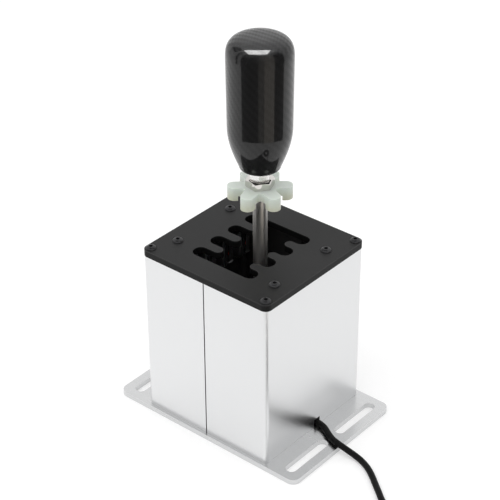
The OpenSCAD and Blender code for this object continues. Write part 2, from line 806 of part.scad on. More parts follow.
// Radius and height of the coil after a number of turns
function coil_r(t) = t < coil_turns ? coil_out_r - coil_step * t
    : t < coil_turns + 0.25 ? coil_in_r - coil_step * (t - coil_turns)
    : coil_in_r + coil_step * (t - coil_turns - 0.5);
function coil_rise(t) = coil_step * max(0, min(1, 2 * (t - coil_turns)));
function coil_point(t) = let (a = coil_in_angle - 360 * t)
    [coil_x + coil_r(t) * cos(a), coil_y + coil_r(t) * sin(a), coil_z + coil_rise(t)];
coil_end = 2 * coil_turns + 0.5;
coil_loops = [for (i = [0:coil_end * coil_rings]) coil_point(i / coil_rings)];
coil_last = coil_loops[len(coil_loops) - 1];
plug_start = [coil_last[0] + 1, coil_last[1] - plug_lead, plug_z];
coil_path = concat([coil_lead[1]], coil_loops,
    [for (u = [0.25, 0.5, 0.75]) let (k = (1 - cos(180 * u)) / 2)
        [coil_last[0] + k, coil_last[1] - u * (plug_lead - cable_d),
         coil_last[2] + k * (plug_z - coil_last[2])]],
    [plug_start + [0, cable_d, 0], plug_start]);

// Least clear gap between points of the coil that are most of a turn apart
coil_gap = min([for (i = [0:2:len(coil_loops) - 1])
    let (far = [for (j = [i + 18:1:len(coil_loops) - 1]) norm(coil_loops[i] - coil_loops[j])])
    len(far) > 0 ? min(far) : 1000]) - cable_d;
echo(coil_least_gap = coil_gap);
function path_length(p) = len(p) < 2 ? 0 : let (d = [for (i = [1:len(p) - 1]) norm(p[i] - p[i - 1])])
    d * [for (x = d) 1];
echo(free_length = path_length(usb_route), coil_length = path_length(coil_path));

module cable_coil() color([0.06, 0.06, 0.06]) tube(coil_path, cable_r, 6, [0, 0, 1]);

module coil_tie() color([0.1, 0.1, 0.1]) translate([coil_x, coil_y, 0]) rotate(tie_angle)
    difference() {
        hole_r = coil_in_r - coil_step / 4 - cable_r;
        inner = sqrt(hole_r * hole_r - tie_w * tie_w / 4) - pass;
        outer = coil_out_r + cable_r + pass;
        top = coil_z + coil_step + cable_r + pass;
        translate([inner - tie_t, -tie_w / 2, 0.05])
            cube([outer - inner + 2 * tie_t, tie_w, top + tie_t - 0.05]);
        translate([inner, -tie_w, tie_t + 0.05]) cube([outer - inner, 2 * tie_w, top - tie_t - 0.05]);
    }

// Plug: a moulded body with a tapered boot, and a folded metal shell
module plug_place() translate(plug_start) rotate([90, 0, 0]) children();

module plug_body() color([0.07, 0.07, 0.07]) plug_place() {
    cylinder(r1 = cable_r + 0.2, r2 = boot_r, h = boot_l + 0.1);
    translate([0, 0, boot_l]) linear_extrude(plug_l) rounded_rect(plug_w, plug_h, 2);
}

module plug_shell() color("silver") plug_place() translate([0, 0, boot_l + plug_l])
    linear_extrude(shell_l) difference() {
        square([shell_w, shell_h], center = true);
        square([shell_w - 2 * shell_wall, shell_h - 2 * shell_wall], center = true);
    }

base_plate();
housing_rear();
housing_front();
gate_plate();
gate_corner_screws();
rail_screws();
base_screws();
rear_switch_rail();
front_switch_rail();
rear_switches();
front_switches();
switch_plungers();
switch_terminals();
switch_screws();
arm_gear_1();
arm_gear_2();
arm_gear_3();
arm_gear_4();
arm_gear_5();
arm_gear_6();
arm_gear_7();
arm_reverse();
left_pivot_block();
right_pivot_block();
block_screws();
shaft_set_screws();
cross_shaft();
slide_sleeve();
thrust_washer();
left_spring();
right_spring();
lever_hub();
lever_rod();
rod_lock_nut();
star_wheel();
star_hub();
knob_insert();
knob();
controller_board();
board_parts();
board_standoffs();
board_screws();
cable_connector();
cable_clamp();
clamp_screw();
rear_loom();
front_loom();
usb_cable();
cable_coil();
coil_tie();
plug_shell();
plug_body();
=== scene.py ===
"""Looks of an H-pattern gear shifter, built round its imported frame."""

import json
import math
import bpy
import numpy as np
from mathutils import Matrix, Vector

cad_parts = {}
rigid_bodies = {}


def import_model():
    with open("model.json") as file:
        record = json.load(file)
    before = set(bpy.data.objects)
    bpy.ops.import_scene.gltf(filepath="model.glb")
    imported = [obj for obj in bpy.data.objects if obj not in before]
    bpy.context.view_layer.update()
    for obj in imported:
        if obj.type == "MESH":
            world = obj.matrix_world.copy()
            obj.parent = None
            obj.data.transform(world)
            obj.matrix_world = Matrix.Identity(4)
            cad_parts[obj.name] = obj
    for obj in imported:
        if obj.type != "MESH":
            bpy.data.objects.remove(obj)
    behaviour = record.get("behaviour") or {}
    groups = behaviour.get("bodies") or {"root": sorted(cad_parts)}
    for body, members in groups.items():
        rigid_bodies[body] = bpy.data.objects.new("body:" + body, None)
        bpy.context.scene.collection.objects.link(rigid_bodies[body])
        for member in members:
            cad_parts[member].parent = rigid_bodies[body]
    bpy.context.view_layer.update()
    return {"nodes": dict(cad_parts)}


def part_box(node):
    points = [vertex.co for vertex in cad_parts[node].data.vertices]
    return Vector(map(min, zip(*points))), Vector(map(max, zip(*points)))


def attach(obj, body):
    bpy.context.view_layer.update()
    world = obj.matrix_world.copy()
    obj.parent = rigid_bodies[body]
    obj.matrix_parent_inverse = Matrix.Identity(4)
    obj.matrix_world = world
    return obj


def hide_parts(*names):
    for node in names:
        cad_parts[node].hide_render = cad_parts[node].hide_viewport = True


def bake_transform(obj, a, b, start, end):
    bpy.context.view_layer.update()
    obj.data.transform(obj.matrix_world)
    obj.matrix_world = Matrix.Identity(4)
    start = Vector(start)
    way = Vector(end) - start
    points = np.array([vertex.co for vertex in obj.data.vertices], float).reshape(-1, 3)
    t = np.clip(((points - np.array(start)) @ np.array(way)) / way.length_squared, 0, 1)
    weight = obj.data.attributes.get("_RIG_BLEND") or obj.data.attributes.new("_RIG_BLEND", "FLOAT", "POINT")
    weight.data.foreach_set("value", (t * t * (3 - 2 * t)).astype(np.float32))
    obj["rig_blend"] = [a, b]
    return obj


bl_info = {
    "name": "Gear shifter looks",
    "version": (1, 0, 0),
    "blender": (4, 5, 0),
    "location": "View3D > Sidebar > Shifter",
    "description": "Dresses the packed gear shifter with its finishes, fine shapes and studio",
    "category": "Add Mesh",
}

import bmesh
import bpy
from bpy.props import FloatProperty, FloatVectorProperty, IntProperty, PointerProperty
from mathutils import Matrix, Vector
from mathutils.geometry import convex_hull_2d

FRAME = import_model()
NODES = FRAME["nodes"]
MM = 0.001
SOFT_ANGLE = math.radians(32)
EASE_ANGLE = math.radians(40)
FLAT_ANGLE = math.radians(0.5)
WELD = 0.001 * MM
ORIGIN = Vector((0, 0, 0))


def span(node):
    """Lowest corner, highest corner and middle of a CAD node."""
    low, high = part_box(node)
    return low, high, (low + high) / 2


LEVER = span("lever_rod")[2]
SHAFT = span("cross_shaft")[2]


# Settings that a user would change


class GripSettings(bpy.types.PropertyGroup):
    """Shape and weave of the grip"""

    foot: FloatProperty(name="Foot radius", description="Radius of the grip's foot",
                        default=13.4 * MM, unit="LENGTH")
    swell: FloatProperty(name="Swell height", description="Height over which the grip swells",
                         default=31 * MM, unit="LENGTH")
    dome: FloatProperty(name="Dome height", description="Height of the domed top",
                        default=16 * MM, unit="LENGTH")
    fullness: FloatProperty(name="Fullness", description="Power of the dome's curve", default=3.3)
    flare: FloatProperty(name="Flare", description="Growth of the radius above the swell",
                         default=0.5 * MM, unit="LENGTH")
    edge: FloatProperty(name="Foot edge", description="Rounding of the foot's edge",
                        default=2 * MM, unit="LENGTH")
    tow: FloatProperty(name="Tow width", description="Width of one woven tow",
                       default=1.6 * MM, unit="LENGTH")


class StarSettings(bpy.types.PropertyGroup):
    """Shape of the star wheel"""

    edge: FloatProperty(name="Edge", description="Rounding of the wheel's edges",
                        default=1.1 * MM, unit="LENGTH")


class CableSettings(bpy.types.PropertyGroup):
    """Cable, stowed coil and plug"""

    width: FloatProperty(name="Diameter", description="Diameter of the cable",
                         default=4.5 * MM, unit="LENGTH")
    turns: IntProperty(name="Turns", description="Turns in each layer of the coil", default=4)
    step: FloatProperty(name="Step", description="Distance between turns",
                        default=5 * MM, unit="LENGTH")
    outer: FloatProperty(name="Coil radius", description="Radius of the outermost turn",
                         default=37 * MM, unit="LENGTH")


class FinishSettings(bpy.types.PropertyGroup):
    """Colours of the finishes"""

    metal: FloatVectorProperty(name="Aluminium", description="Satin aluminium", subtype="COLOR",
                               default=(0.765, 0.77, 0.775))
    # Painted shade: this colour stands in for the shade on the housing's inside walls
    inside: FloatVectorProperty(name="Inside", description="Painted shade on the walls inside the housing",
                                subtype="COLOR", default=(0.05, 0.05, 0.05))
    gate: FloatVectorProperty(name="Gate", description="Black gate plate", subtype="COLOR",
                              default=(0.0175, 0.0175, 0.0176))
    nylon: FloatVectorProperty(name="Nylon", description="Star wheel", subtype="COLOR",
                               default=(0.70, 0.76, 0.70))
    # Partly the nylon's own warmer tint, partly painted shade low on the wheel
    nylon_foot_tint_and_shade: FloatVectorProperty(name="Nylon foot", description="Warmer tint and painted shade down the star wheel's thick lobes",
                                    subtype="COLOR", default=(0.58, 0.59, 0.45))
    carbon: FloatVectorProperty(name="Carbon", description="Grip's weave", subtype="COLOR",
                                default=(0.0075, 0.0075, 0.0078))
    sheath: FloatVectorProperty(name="Sheath", description="Cable sheath", subtype="COLOR",
                                default=(0.005, 0.005, 0.005))


class StudioSettings(bpy.types.PropertyGroup):
    """Camera and light"""

    eye: FloatVectorProperty(name="Camera", description="Place of the camera",
                             default=(0.7258, 0.6105, 0.7323), subtype="TRANSLATION")
    azimuth: FloatProperty(name="Azimuth", description="Direction of the camera",
                           default=math.radians(130.21), subtype="ANGLE")
    elevation: FloatProperty(name="Elevation", description="Height of the camera's direction",
                             default=math.radians(32.27), subtype="ANGLE")
    roll: FloatProperty(name="Roll", description="Roll of the camera",
                        default=math.radians(-0.30), subtype="ANGLE")
    lens: FloatProperty(name="Lens", description="Focal length in millimetres", default=119.2)
    shift: FloatProperty(name="Shift", description="Upward shift of the lens, in frame widths",
                         default=-0.0098)
    ambient: FloatProperty(name="Ambient", description="Light from all round", default=0.80)
    lift: FloatProperty(name="Floor lift", description="White added to the floor as it is seen",
                        default=0.32)


# Node trees written as sums


class Socket:
    """One output of a node. Each operator on it adds a Math node to its tree."""

    def __init__(self, tree, socket):
        self.tree = tree
        self.socket = socket

    def maths(self, operation, *values):
        return self.tree.node("ShaderNodeMath", {"operation": operation},
                              dict(enumerate(values)))

    def __add__(self, other):
        return self.maths("ADD", self, other)

    def __sub__(self, other):
        return self.maths("SUBTRACT", self, other)

    def __rsub__(self, other):
        return self.maths("SUBTRACT", other, self)

    def __mul__(self, other):
        return self.maths("MULTIPLY", self, other)

    def __truediv__(self, other):
        return self.maths("DIVIDE", self, other)

    def __mod__(self, other):
        return self.maths("FLOORED_MODULO", self, other)

    def __lt__(self, other):
        return self.maths("LESS_THAN", self, other)

    def __gt__(self, other):
        return self.maths("GREATER_THAN", self, other)

    __radd__ = __add__
    __rmul__ = __mul__

    def floor(self):
        return self.maths("FLOOR", self)

    def sine(self):
        return self.maths("SINE", self)

    def size(self):
        return self.maths("ABSOLUTE", self)


class Tree:
    """A node tree and the one method that adds to it."""

    def __init__(self, tree):
        self.tree = tree

    def node(self, kind, settings=None, sockets=None, out=0):
        made = self.tree.nodes.new(kind)
        for key, value in (settings or {}).items():
            setattr(made, key, value)
        for key, value in (sockets or {}).items():
            if isinstance(value, Socket):
                self.tree.links.new(value.socket, made.inputs[key])
            else:
                made.inputs[key].default_value = value
        return Socket(self, made.outputs[out])


class Finish(Tree):
    """A material built from nodes, ending in one Principled surface."""

    def __init__(self, name):
        self.material = bpy.data.materials.new(name)
        self.material.use_nodes = True
        super().__init__(self.material.node_tree)
        self.tree.nodes.clear()

    def place(self, scale=(1, 1, 1)):
        """Coordinates of the piece, stretched by a factor along each axis."""
        spot = self.node("ShaderNodeTexCoord", out="Object")
        return self.node("ShaderNodeMapping", {}, {"Vector": spot, "Scale": scale})

    def split(self, vector):
        made = self.node("ShaderNodeSeparateXYZ", {}, {0: vector}).socket.node
        return [Socket(self, output) for output in made.outputs]

    def noise(self, place, scale, detail=3.0):
        return self.node("ShaderNodeTexNoise", {},
                         {"Vector": place, "Scale": scale, "Detail": detail})

    def mix(self, factor, low, high):
        """A colour between two colours."""
        ends = [c if isinstance(c, Socket) else (*c, 1) for c in (low, high)]
        return self.node("ShaderNodeMix", {"data_type": "RGBA"},
                         {0: factor, 6: ends[0], 7: ends[1]}, out=2)

    def bump(self, height, strength, depth):
        return self.node("ShaderNodeBump", {},
                         {"Height": height, "Strength": strength, "Distance": depth})

    def surface(self, **sockets):
        """Ends the material in one Principled surface, whose inputs are given by name."""
        named = {key.replace("_", " "): value for key, value in sockets.items()}
        if isinstance(named["Base Color"], tuple):
            named["Base Color"] = (*named["Base Color"], 1)
        shader = self.node("ShaderNodeBsdfPrincipled", {}, named)
        end = self.tree.nodes.new("ShaderNodeOutputMaterial")
        self.tree.links.new(shader.socket, end.inputs["Surface"])
        return self.material


def seen_directly(tree):
    """One on rays from the camera and on those that shiny or clear things pass on, else none."""
    rays = tree.tree.nodes.new("ShaderNodeLightPath")
    camera, glossy, clear = [Socket(tree, rays.outputs["Is %s Ray" % kind])
                             for kind in ("Camera", "Glossy", "Transmission")]
    return (camera + glossy + clear) > 0.5


def shade(colour, factor):
    """A colour made lighter or darker."""
    return tuple(min(1.0, c * factor) for c in colour)


# Finishes


def drawn_metal(name, colour, grain, rough, low=0.985):
    """Metal with fine lines along the axis whose grain is small, down to a share of its colour."""
    f = Finish(name)
    lines = f.noise(f.place(grain), 1.0, 2.0)
    cloud = f.noise(f.place(), 25.0, 2.0)
    return f.surface(Base_Color=f.mix(lines * 0.5 + cloud * 0.5, shade(colour, low), colour),
                     Metallic=1.0, Roughness=rough + (lines - 0.5) * 0.02 + (cloud - 0.5) * 0.03,
                     Normal=f.bump(lines, 0.04, 0.001 * MM))


def satin_shell_with_painted_inside_shade(name, colour, dark, half_width, half_depth):
    """Satin aluminium outside. On the walls inside a box about the origin, painted shade: a dull black
    colour that is not metal and is rougher.
    """
    f = Finish(name)
    lines = f.noise(f.place((150, 150, 3)), 1.0, 2.0)
    cloud = f.noise(f.place(), 12.0, 2.0)
    x, y, _ = f.split(f.place())
    skin = 1.2 * MM
    # Painted shade: inside the box the walls take the dark colour instead of the metal
    inside = (x.size() < half_width) * (y.size() < half_depth)
    corner = (x.size() > half_width + skin) * (y.size() > half_depth + skin)
    outside = f.mix(lines * 0.4 + cloud * 0.6, shade(colour, 0.99), colour)
    return f.surface(Base_Color=f.mix(inside, outside, dark), Metallic=1.0 - inside,
                     Roughness=0.31 + (cloud - 0.5) * 0.02 + inside * 0.35 + corner * 0.3)


def turned_metal(name, colour, rough):
    """Machined metal with fine rings round an upright axis."""
    f = Finish(name)
    rings = f.noise(f.place((20, 20, 2600)), 1.0, 3.0)
    return f.surface(Base_Color=f.mix(rings, shade(colour, 0.88), colour), Metallic=1.0,
                     Roughness=rough + (rings - 0.5) * 0.12, Normal=f.bump(rings, 0.08, 0.02 * MM))


def ground_steel(name, colour):
    """Steel ground round its upright axis, which draws reflections out along it."""
    f = Finish(name)
    rings = f.noise(f.place((15, 15, 4000)), 1.0, 2.0)
    return f.surface(Base_Color=f.mix(rings, shade(colour, 0.94), colour), Metallic=1.0,
                     Roughness=0.30 + (rings - 0.5) * 0.06, Anisotropic=0.9,
                     Anisotropic_Rotation=0.25)


def black_coat(name, colour, top, patch, low, high):
    """Satin black coating, patched between two shades. Below its top face, on the plate's sides and slot
    walls, it gets painted shade: a fifth of its colour.
    """
    f = Finish(name)
    grain = f.noise(f.place(), 2600.0, 2.0)
    cloud = f.noise(f.place(), 60.0)
    # Painted shade: below this height the colour drops to a fifth
    upper = f.split(f.place())[2] > top
    face = f.mix(f.noise(f.place(), patch), shade(colour, low), shade(colour, high))
    return f.surface(Base_Color=f.mix(upper, shade(colour, 0.2), face),
                     Roughness=0.48 + (cloud - 0.5) * 0.08 + (grain - 0.5) * 0.06,
                     Specular_IOR_Level=0.2, Normal=f.bump(grain, 0.10, 0.03 * MM))


def black_oxide(name):
    """Dark steel of the screws."""
    f = Finish(name)
    cloud = f.noise(f.place(), 900.0, 3.0)
    return f.surface(Base_Color=f.mix(cloud, (0.030, 0.030, 0.032), (0.055, 0.055, 0.057)),
                     Metallic=0.75, Roughness=0.30 + (cloud - 0.5) * 0.12)


def moulded(name, colour, rough, grain=900.0, depth=0.06):
    """Moulded plastic or rubber with a faint texture."""
    f = Finish(name)
    pores = f.noise(f.place(), grain, 3.0)
    cloud = f.noise(f.place(), 45.0, 2.0)
    return f.surface(Base_Color=f.mix(cloud, shade(colour, 0.9), shade(colour, 1.08)),
                     Roughness=rough + (pores - 0.5) * 0.10, Normal=f.bump(pores, depth, 0.05 * MM))


def cloudy_nylon(name, colour, warm_and_shaded, low, high):
    """Natural nylon: pale with a green cast, slightly see-through. Down its thick lobes it grows warmer and
    darker: partly the nylon's own warmer tint, partly painted shade.
    """
    f = Finish(name)
    cloud = f.noise(f.place(), 90.0, 3.0)
    grain = f.noise(f.place(), 1500.0, 2.0)
    # Painted shade with a real warmer tint: the colour runs from the foot colour at the bottom to the pale
    # colour at the top
    height = (f.split(f.place())[2] - low) / (high - low)
    pale = f.node("ShaderNodeClamp", {}, {"Value": height * 1.1 + (cloud - 0.5) * 0.7})
    return f.surface(Base_Color=f.mix(pale, warm_and_shaded, colour),
                     Roughness=0.34 + (grain - 0.5) * 0.10, Subsurface_Weight=0.4,
                     Subsurface_Radius=(0.9, 1.0, 0.8), Subsurface_Scale=2.0 * MM,
                     Normal=f.bump(grain, 0.05, 0.05 * MM))


def woven_carbon(name, colour, tow, crown):
    """Twill of dark tows under a clear coat, from the grip's own two-way map. Its colour shows the weave at
    full contrast on the crown and at 0.3 of it on the body below: painted light and shade, the crown as if
    lit and the sides as if shaded.
    """
    f = Finish(name)
    on_crown = f.split(f.place())[2] > crown
    across, along, _ = f.split(f.node("ShaderNodeUVMap", {"uv_map": "weave"}))
    column = across / tow
    row = along / tow
    over = ((column.floor() + row.floor()) % 4.0) < 1.5
    ribs_up = (column * math.pi).sine().size()
    ribs_across = (row * math.pi).sine().size()
    ribs = over * ribs_up + (1.0 - over) * ribs_across
    strands = f.noise(f.place(), 900.0, 2.0)
    tone = over * 0.65 + ribs * 0.25 + strands * 0.10
    # Painted light and shade: full weave contrast in the colour on the crown, 0.3 of it on the body
    bright = (tone - 0.5) * (0.3 + on_crown * 0.7) + 0.5
    return f.surface(Base_Color=f.mix(bright, shade(colour, 0.25), shade(colour, 1.8)),
                     Roughness=0.45 + (0.5 - over) * (0.1 + on_crown * 0.2),
                     Normal=f.bump(ribs, 0.2, 0.10 * MM), Specular_IOR_Level=0.12,
                     Coat_Weight=0.68, Coat_Roughness=0.02, Coat_IOR=1.46)


def green_board(name):
    """Solder mask over faint copper tracks."""
    f = Finish(name)
    x, y, _ = f.split(f.place())
    track = ((x * 640.0).sine() * (y * 520.0).sine()) > 0.35
    return f.surface(Base_Color=f.mix(track, (0.008, 0.075, 0.03), (0.016, 0.13, 0.05)),
                     Roughness=0.30 + track * 0.08, Normal=f.bump(track, 0.2, 0.05 * MM))


def sheath_rubber(name, colour):
    """Cable sheath with faint lines along it, from the cable's own map."""
    f = Finish(name)
    spot = f.node("ShaderNodeUVMap", {"uv_map": "weave"})
    lines = f.noise(f.node("ShaderNodeMapping", {}, {"Vector": spot, "Scale": (900, 30, 1)}), 1.0)
    return f.surface(Base_Color=f.mix(lines, shade(colour, 0.8), shade(colour, 1.25)),
                     Roughness=0.52 + (lines - 0.5) * 0.12, Specular_IOR_Level=0.14,
                     Normal=f.bump(lines, 0.05, 0.05 * MM))


def crown_height(grip):
    """Height above which the grip's weave is laid flat over its dome."""
    return span("knob")[1].z - 0.4 * grip.dome


def make_finishes(colours, grip):
    """Every finish of the shifter by name."""
    metal = tuple(colours.metal)
    gate = tuple(colours.gate)
    gate_face = span("gate_plate")[1].z - 0.75 * MM
    rear_low, rear_high, _ = span("housing_rear")
    star_low, star_high, _ = span("star_wheel")
    skin = 2.3 * MM
    return {
        # The housing's finish carries painted shade on its inside walls
        "housing": satin_shell_with_painted_inside_shade("satin aluminium", metal, tuple(colours.inside),
                               rear_high.x - skin, -rear_low.y - skin),
        "base": drawn_metal("brushed plate", shade(metal, 0.93), (420, 14, 420), 0.27, 0.86),
        # Painted highlight: the base plate's eased edges take a lighter copy of its metal
        "base edge": drawn_metal("bright edge", shade(metal, 1.2), (60, 60, 60), 0.45),
        "machined": drawn_metal("milled aluminium", shade(metal, 0.9), (60, 900, 900), 0.34),
        # Both gate finishes carry painted shade below the gate's top face
        "gate": black_coat("black gate", gate, gate_face, 60.0, 0.88, 1.12),
        # Painted highlight: on the top face the gate's eased edges take 2.4 to 3.24 times its colour
        "gate edge": black_coat("worn gate edge", gate, gate_face, 160.0, 2.4, 3.24),
        "screw": black_oxide("black oxide"),
        "zinc": turned_metal("zinc plate", (0.58, 0.59, 0.60), 0.32),
        "rod": ground_steel("ground steel", (0.72, 0.70, 0.67)),
        "bright": drawn_metal("bright collar", (0.88, 0.87, 0.86), (40, 40, 900), 0.24),
        "chrome": turned_metal("bright nut", (0.70, 0.68, 0.65), 0.06),
        "bronze": turned_metal("bearing bronze", (0.55, 0.36, 0.15), 0.30),
        "spring": drawn_metal("spring wire", (0.50, 0.50, 0.51), (900, 900, 900), 0.28),
        "nylon": cloudy_nylon("natural nylon", tuple(colours.nylon), tuple(colours.nylon_foot_tint_and_shade),
                              star_low.z, star_high.z),
        "carbon": woven_carbon("woven carbon", tuple(colours.carbon), grip.tow,
                               crown_height(grip)),
        "case": moulded("switch case", (0.022, 0.022, 0.023), 0.45),
        "red": moulded("red button", (0.45, 0.015, 0.012), 0.35),
        "brass": turned_metal("stamped brass", (0.66, 0.50, 0.22), 0.30),
        "board": green_board("solder mask"),
        "ivory": moulded("ivory plastic", (0.70, 0.66, 0.54), 0.42),
        "sheath": sheath_rubber("cable sheath", tuple(colours.sheath)),
        "plug": moulded("plug moulding", (0.014, 0.014, 0.014), 0.48, 1400.0, 0.12),
        "strap": moulded("woven strap", (0.012, 0.012, 0.012), 0.8, 2400.0, 0.3),
        "shell": drawn_metal("plug shell", (0.62, 0.62, 0.63), (900, 30, 900), 0.24),
        "contact": drawn_metal("gilt contact", (0.72, 0.52, 0.20), (900, 30, 900), 0.2),
    }


FINISHES = {}


# Shapes


def link(name, data):
    thing = bpy.data.objects.new(name, data)
    bpy.context.scene.collection.objects.link(thing)
    return thing


def soften(mesh):
    """Smooth shading with sharp edges kept."""
    mesh.shade_smooth()
    mesh.set_sharp_from_angle(angle=SOFT_ANGLE)
    return mesh


def coat(thing, finish):
    """Puts one finish on a piece."""
    thing.data.materials.clear()
    thing.data.materials.append(FINISHES[finish])


def paint(finish, *nodes):
    """Puts a finish on CAD nodes that are shown as they are."""
    for node in nodes:
        coat(NODES[node], finish)


def dress(thing, finish, body, slot, *nodes):
    """Gives a piece its finish, unless it has one, and its body, and hides the nodes that it stands for."""
    if finish:
        coat(thing, finish)
    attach(thing, body)
    if nodes:
        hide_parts(*nodes)
    return thing


def settle(thing):
    """Applies a piece's modifiers to its mesh."""
    graph = bpy.context.evaluated_depsgraph_get()
    graph.update()
    made = bpy.data.meshes.new_from_object(thing.evaluated_get(graph), depsgraph=graph)
    thing.modifiers.clear()
    old = thing.data
    thing.data = made
    made.name = thing.name
    if old.users == 0:
        bpy.data.meshes.remove(old)
    return thing


def mesh_of(name, points, faces, uvs=None):
    """A mesh from points and faces, with an optional map of one pair for each corner."""
    mesh = bpy.data.meshes.new(name)
    mesh.from_pydata(points, [], faces)
    if uvs:
        layer = mesh.uv_layers.new(name="weave")
        layer.uv.foreach_set("vector", [value for pair in uvs for value in pair])
    mesh.validate()
    return soften(mesh)


def skin(rings, lengths, girth, sides):
    """Faces over rings of corners, with their map in metres round and along the rings."""
    faces, uvs = [], []
    for i in range(len(rings) - 1):
        low, high = rings[i], rings[i + 1]
        v = lengths[i], lengths[i + 1]
        for k in range(sides):
            left, right = k, (k + 1) % sides
            u = [girth * s / sides for s in (k, k + 1)]
            if len(low) == 1:
                faces.append((low[0], high[right], high[left]))
                uvs += [(u[0], v[0]), (u[1], v[1]), (u[0], v[1])]
            elif len(high) == 1:
                faces.append((low[left], low[right], high[0]))
                uvs += [(u[0], v[0]), (u[1], v[0]), (u[0], v[1])]
            else:
                faces.append((low[left], low[right], high[right], high[left]))
                uvs += [(u[0], v[0]), (u[1], v[0]), (u[1], v[1]), (u[0], v[1])]
    return faces, uvs


def lathe(name, profile, middle, sides=96):
    """A closed solid turned about an upright axis, with a map in metres round and along it."""
    points, rings, lengths = [], [], []
    travelled = 0.0
    for i, (r, z) in enumerate(profile):
        if i:
            travelled += math.dist(profile[i - 1], (r, z))
        lengths.append(travelled)
        if i and (r, z) == profile[0]:
            rings.append(rings[0])
            continue
        count = 1 if r < 1e-7 else sides
        rings.append(list(range(len(points), len(points) + count)))
        for k in range(count):
            a = math.tau * k / sides
            points.append((middle.x + r * math.cos(a), middle.y + r * math.sin(a), z))
    widest = max(r for r, _ in profile)
    return link(name, mesh_of(name, points, *skin(rings, lengths, math.tau * widest, sides)))


def pipe(name, path, radius, sides=14):
    """A closed tube along a path, with a map in metres round and along it."""
    points, rings, lengths = [], [], []
    path = [Vector(p) for p in path]
    up = Vector((0, 0, 1))
    travelled = 0.0
    for i, spot in enumerate(path):
        ahead = (path[min(i + 1, len(path) - 1)] - path[max(i - 1, 0)]).normalized()
        if abs(ahead.dot(up)) > 0.95:
            up = Vector((1, 0, 0))
        side = ahead.cross(up).normalized()
        up = side.cross(ahead)
        travelled += (spot - path[i - 1]).length if i else 0.0
        lengths.append(travelled)
        rings.append(list(range(len(points), len(points) + sides)))
        for k in range(sides):
            a = math.tau * k / sides
            points.append(spot + radius * (math.cos(a) * side - math.sin(a) * up))
    faces, uvs = skin(rings, lengths, math.tau * radius, sides)
    faces += [tuple(reversed(rings[0])), tuple(rings[-1])]
    uvs += [(0, 0)] * (2 * sides)
    return link(name, mesh_of(name, points, faces, uvs))


def smooth_line(points, steps):
    """A smooth curve through points, with some steps between each two."""
    points = [Vector(p) for p in points]
    line = []
    for i in range(len(points) - 1):
        a, b = points[max(i - 1, 0)], points[i]
        c, d = points[i + 1], points[min(i + 2, len(points) - 1)]
        for k in range(steps):
            t = k / steps
            line.append(0.5 * (2 * b + (c - a) * t + (2 * a - 5 * b + 4 * c - d) * t * t
                               + (3 * b - a - 3 * c + d) * t ** 3))
    return line + [points[-1]]


def mesh_from(name, bm):
    """A mesh from an edit mesh, which is then freed."""
    mesh = bpy.data.meshes.new(name)
    bm.to_mesh(mesh)
    bm.free()
    return mesh


def eased(thing, width, segments, slot=-1):
    """Eases a piece's sharp edges and keeps its broad faces flat in the shading."""
    ease = thing.modifiers.new("ease", "BEVEL")
    ease.material = slot
    ease.width = width
    ease.segments = segments
    ease.limit_method = "ANGLE"
    ease.angle_limit = EASE_ANGLE
    ease.use_clamp_overlap = True
    soften(thing.data)
    weigh = thing.modifiers.new("flat", "WEIGHTED_NORMAL")
    weigh.keep_sharp = True
    return settle(thing)


def eased_copy(node, name, width, segments=2, finishes=()):
    """A copy of a CAD node with its edges eased. A second finish goes on the eased edges."""
    bm = bmesh.new()
    bm.from_mesh(NODES[node].data)
    bmesh.ops.remove_doubles(bm, verts=bm.verts, dist=WELD)
    bmesh.ops.dissolve_limit(bm, angle_limit=FLAT_ANGLE, verts=bm.verts, edges=bm.edges)
    thing = link(name, mesh_from(name, bm))
    for finish in finishes:
        thing.data.materials.append(FINISHES[finish])
    return eased(thing, width, segments, len(finishes) - 1)


def block(name, low, high, ease):
    """A box between two corners, with eased edges."""
    points = [(x, y, z) for z in (low[2], high[2]) for y in (low[1], high[1])
              for x in (low[0], high[0])]
    bottom_top = [(0, 2, 3, 1), (4, 5, 7, 6)]
    sides = [(0, 1, 5, 4), (2, 6, 7, 3), (0, 4, 6, 2), (1, 3, 7, 5)]
    return eased(link(name, mesh_of(name, points, bottom_top + sides)), ease, 3)


def hexed(thing, middle, low, high, widest, flats, turn=0.0):
    """Cuts a turned piece to a hexagon between two heights, with a corner along the turn."""
    sixth = math.radians(60)
    for vertex in thing.data.vertices:
        spot = vertex.co - middle
        r = math.hypot(spot.x, spot.y)
        if low < vertex.co.z < high and 0.01 * MM < r < widest:
            a = (math.atan2(spot.y, spot.x) - turn) % sixth - sixth / 2
            scale = min(1.0, flats / 2 / math.cos(a) / r)
            vertex.co.x = middle.x + spot.x * scale
            vertex.co.y = middle.y + spot.y * scale
    soften(thing.data)
    return thing


def join(name, things):
    """One piece from several."""
    bm = bmesh.new()
    for thing in things:
        bm.from_mesh(thing.data)
        old = thing.data
        bpy.data.objects.remove(thing)
        bpy.data.meshes.remove(old)
    return link(name, soften(mesh_from(name, bm)))


# Geometry Nodes


def new_tree(name, inputs):
    """A geometry tree with named inputs, its first node and the output's socket name."""
    group = bpy.data.node_groups.new(name, "GeometryNodeTree")
    group.interface.new_socket("Geometry", in_out="INPUT", socket_type="NodeSocketGeometry")
    for label, kind in inputs:
        group.interface.new_socket(label, in_out="INPUT", socket_type=kind)
    group.interface.new_socket("Geometry", in_out="OUTPUT", socket_type="NodeSocketGeometry")
    tree = Tree(group)
    start = group.nodes.new("NodeGroupInput")
    return tree, {s.name: Socket(tree, s) for s in start.outputs if s.name}


def end_tree(tree, geometry, finish):
    """Realises what the tree made, gives it its finish and ends the tree."""
    solid = tree.node("GeometryNodeRealizeInstances", {}, {0: geometry})
    painted = tree.node("GeometryNodeSetMaterial", {},
                        {"Geometry": solid, "Material": FINISHES[finish]})
    end = tree.tree.nodes.new("NodeGroupOutput")
    tree.tree.links.new(painted.socket, end.inputs[0])


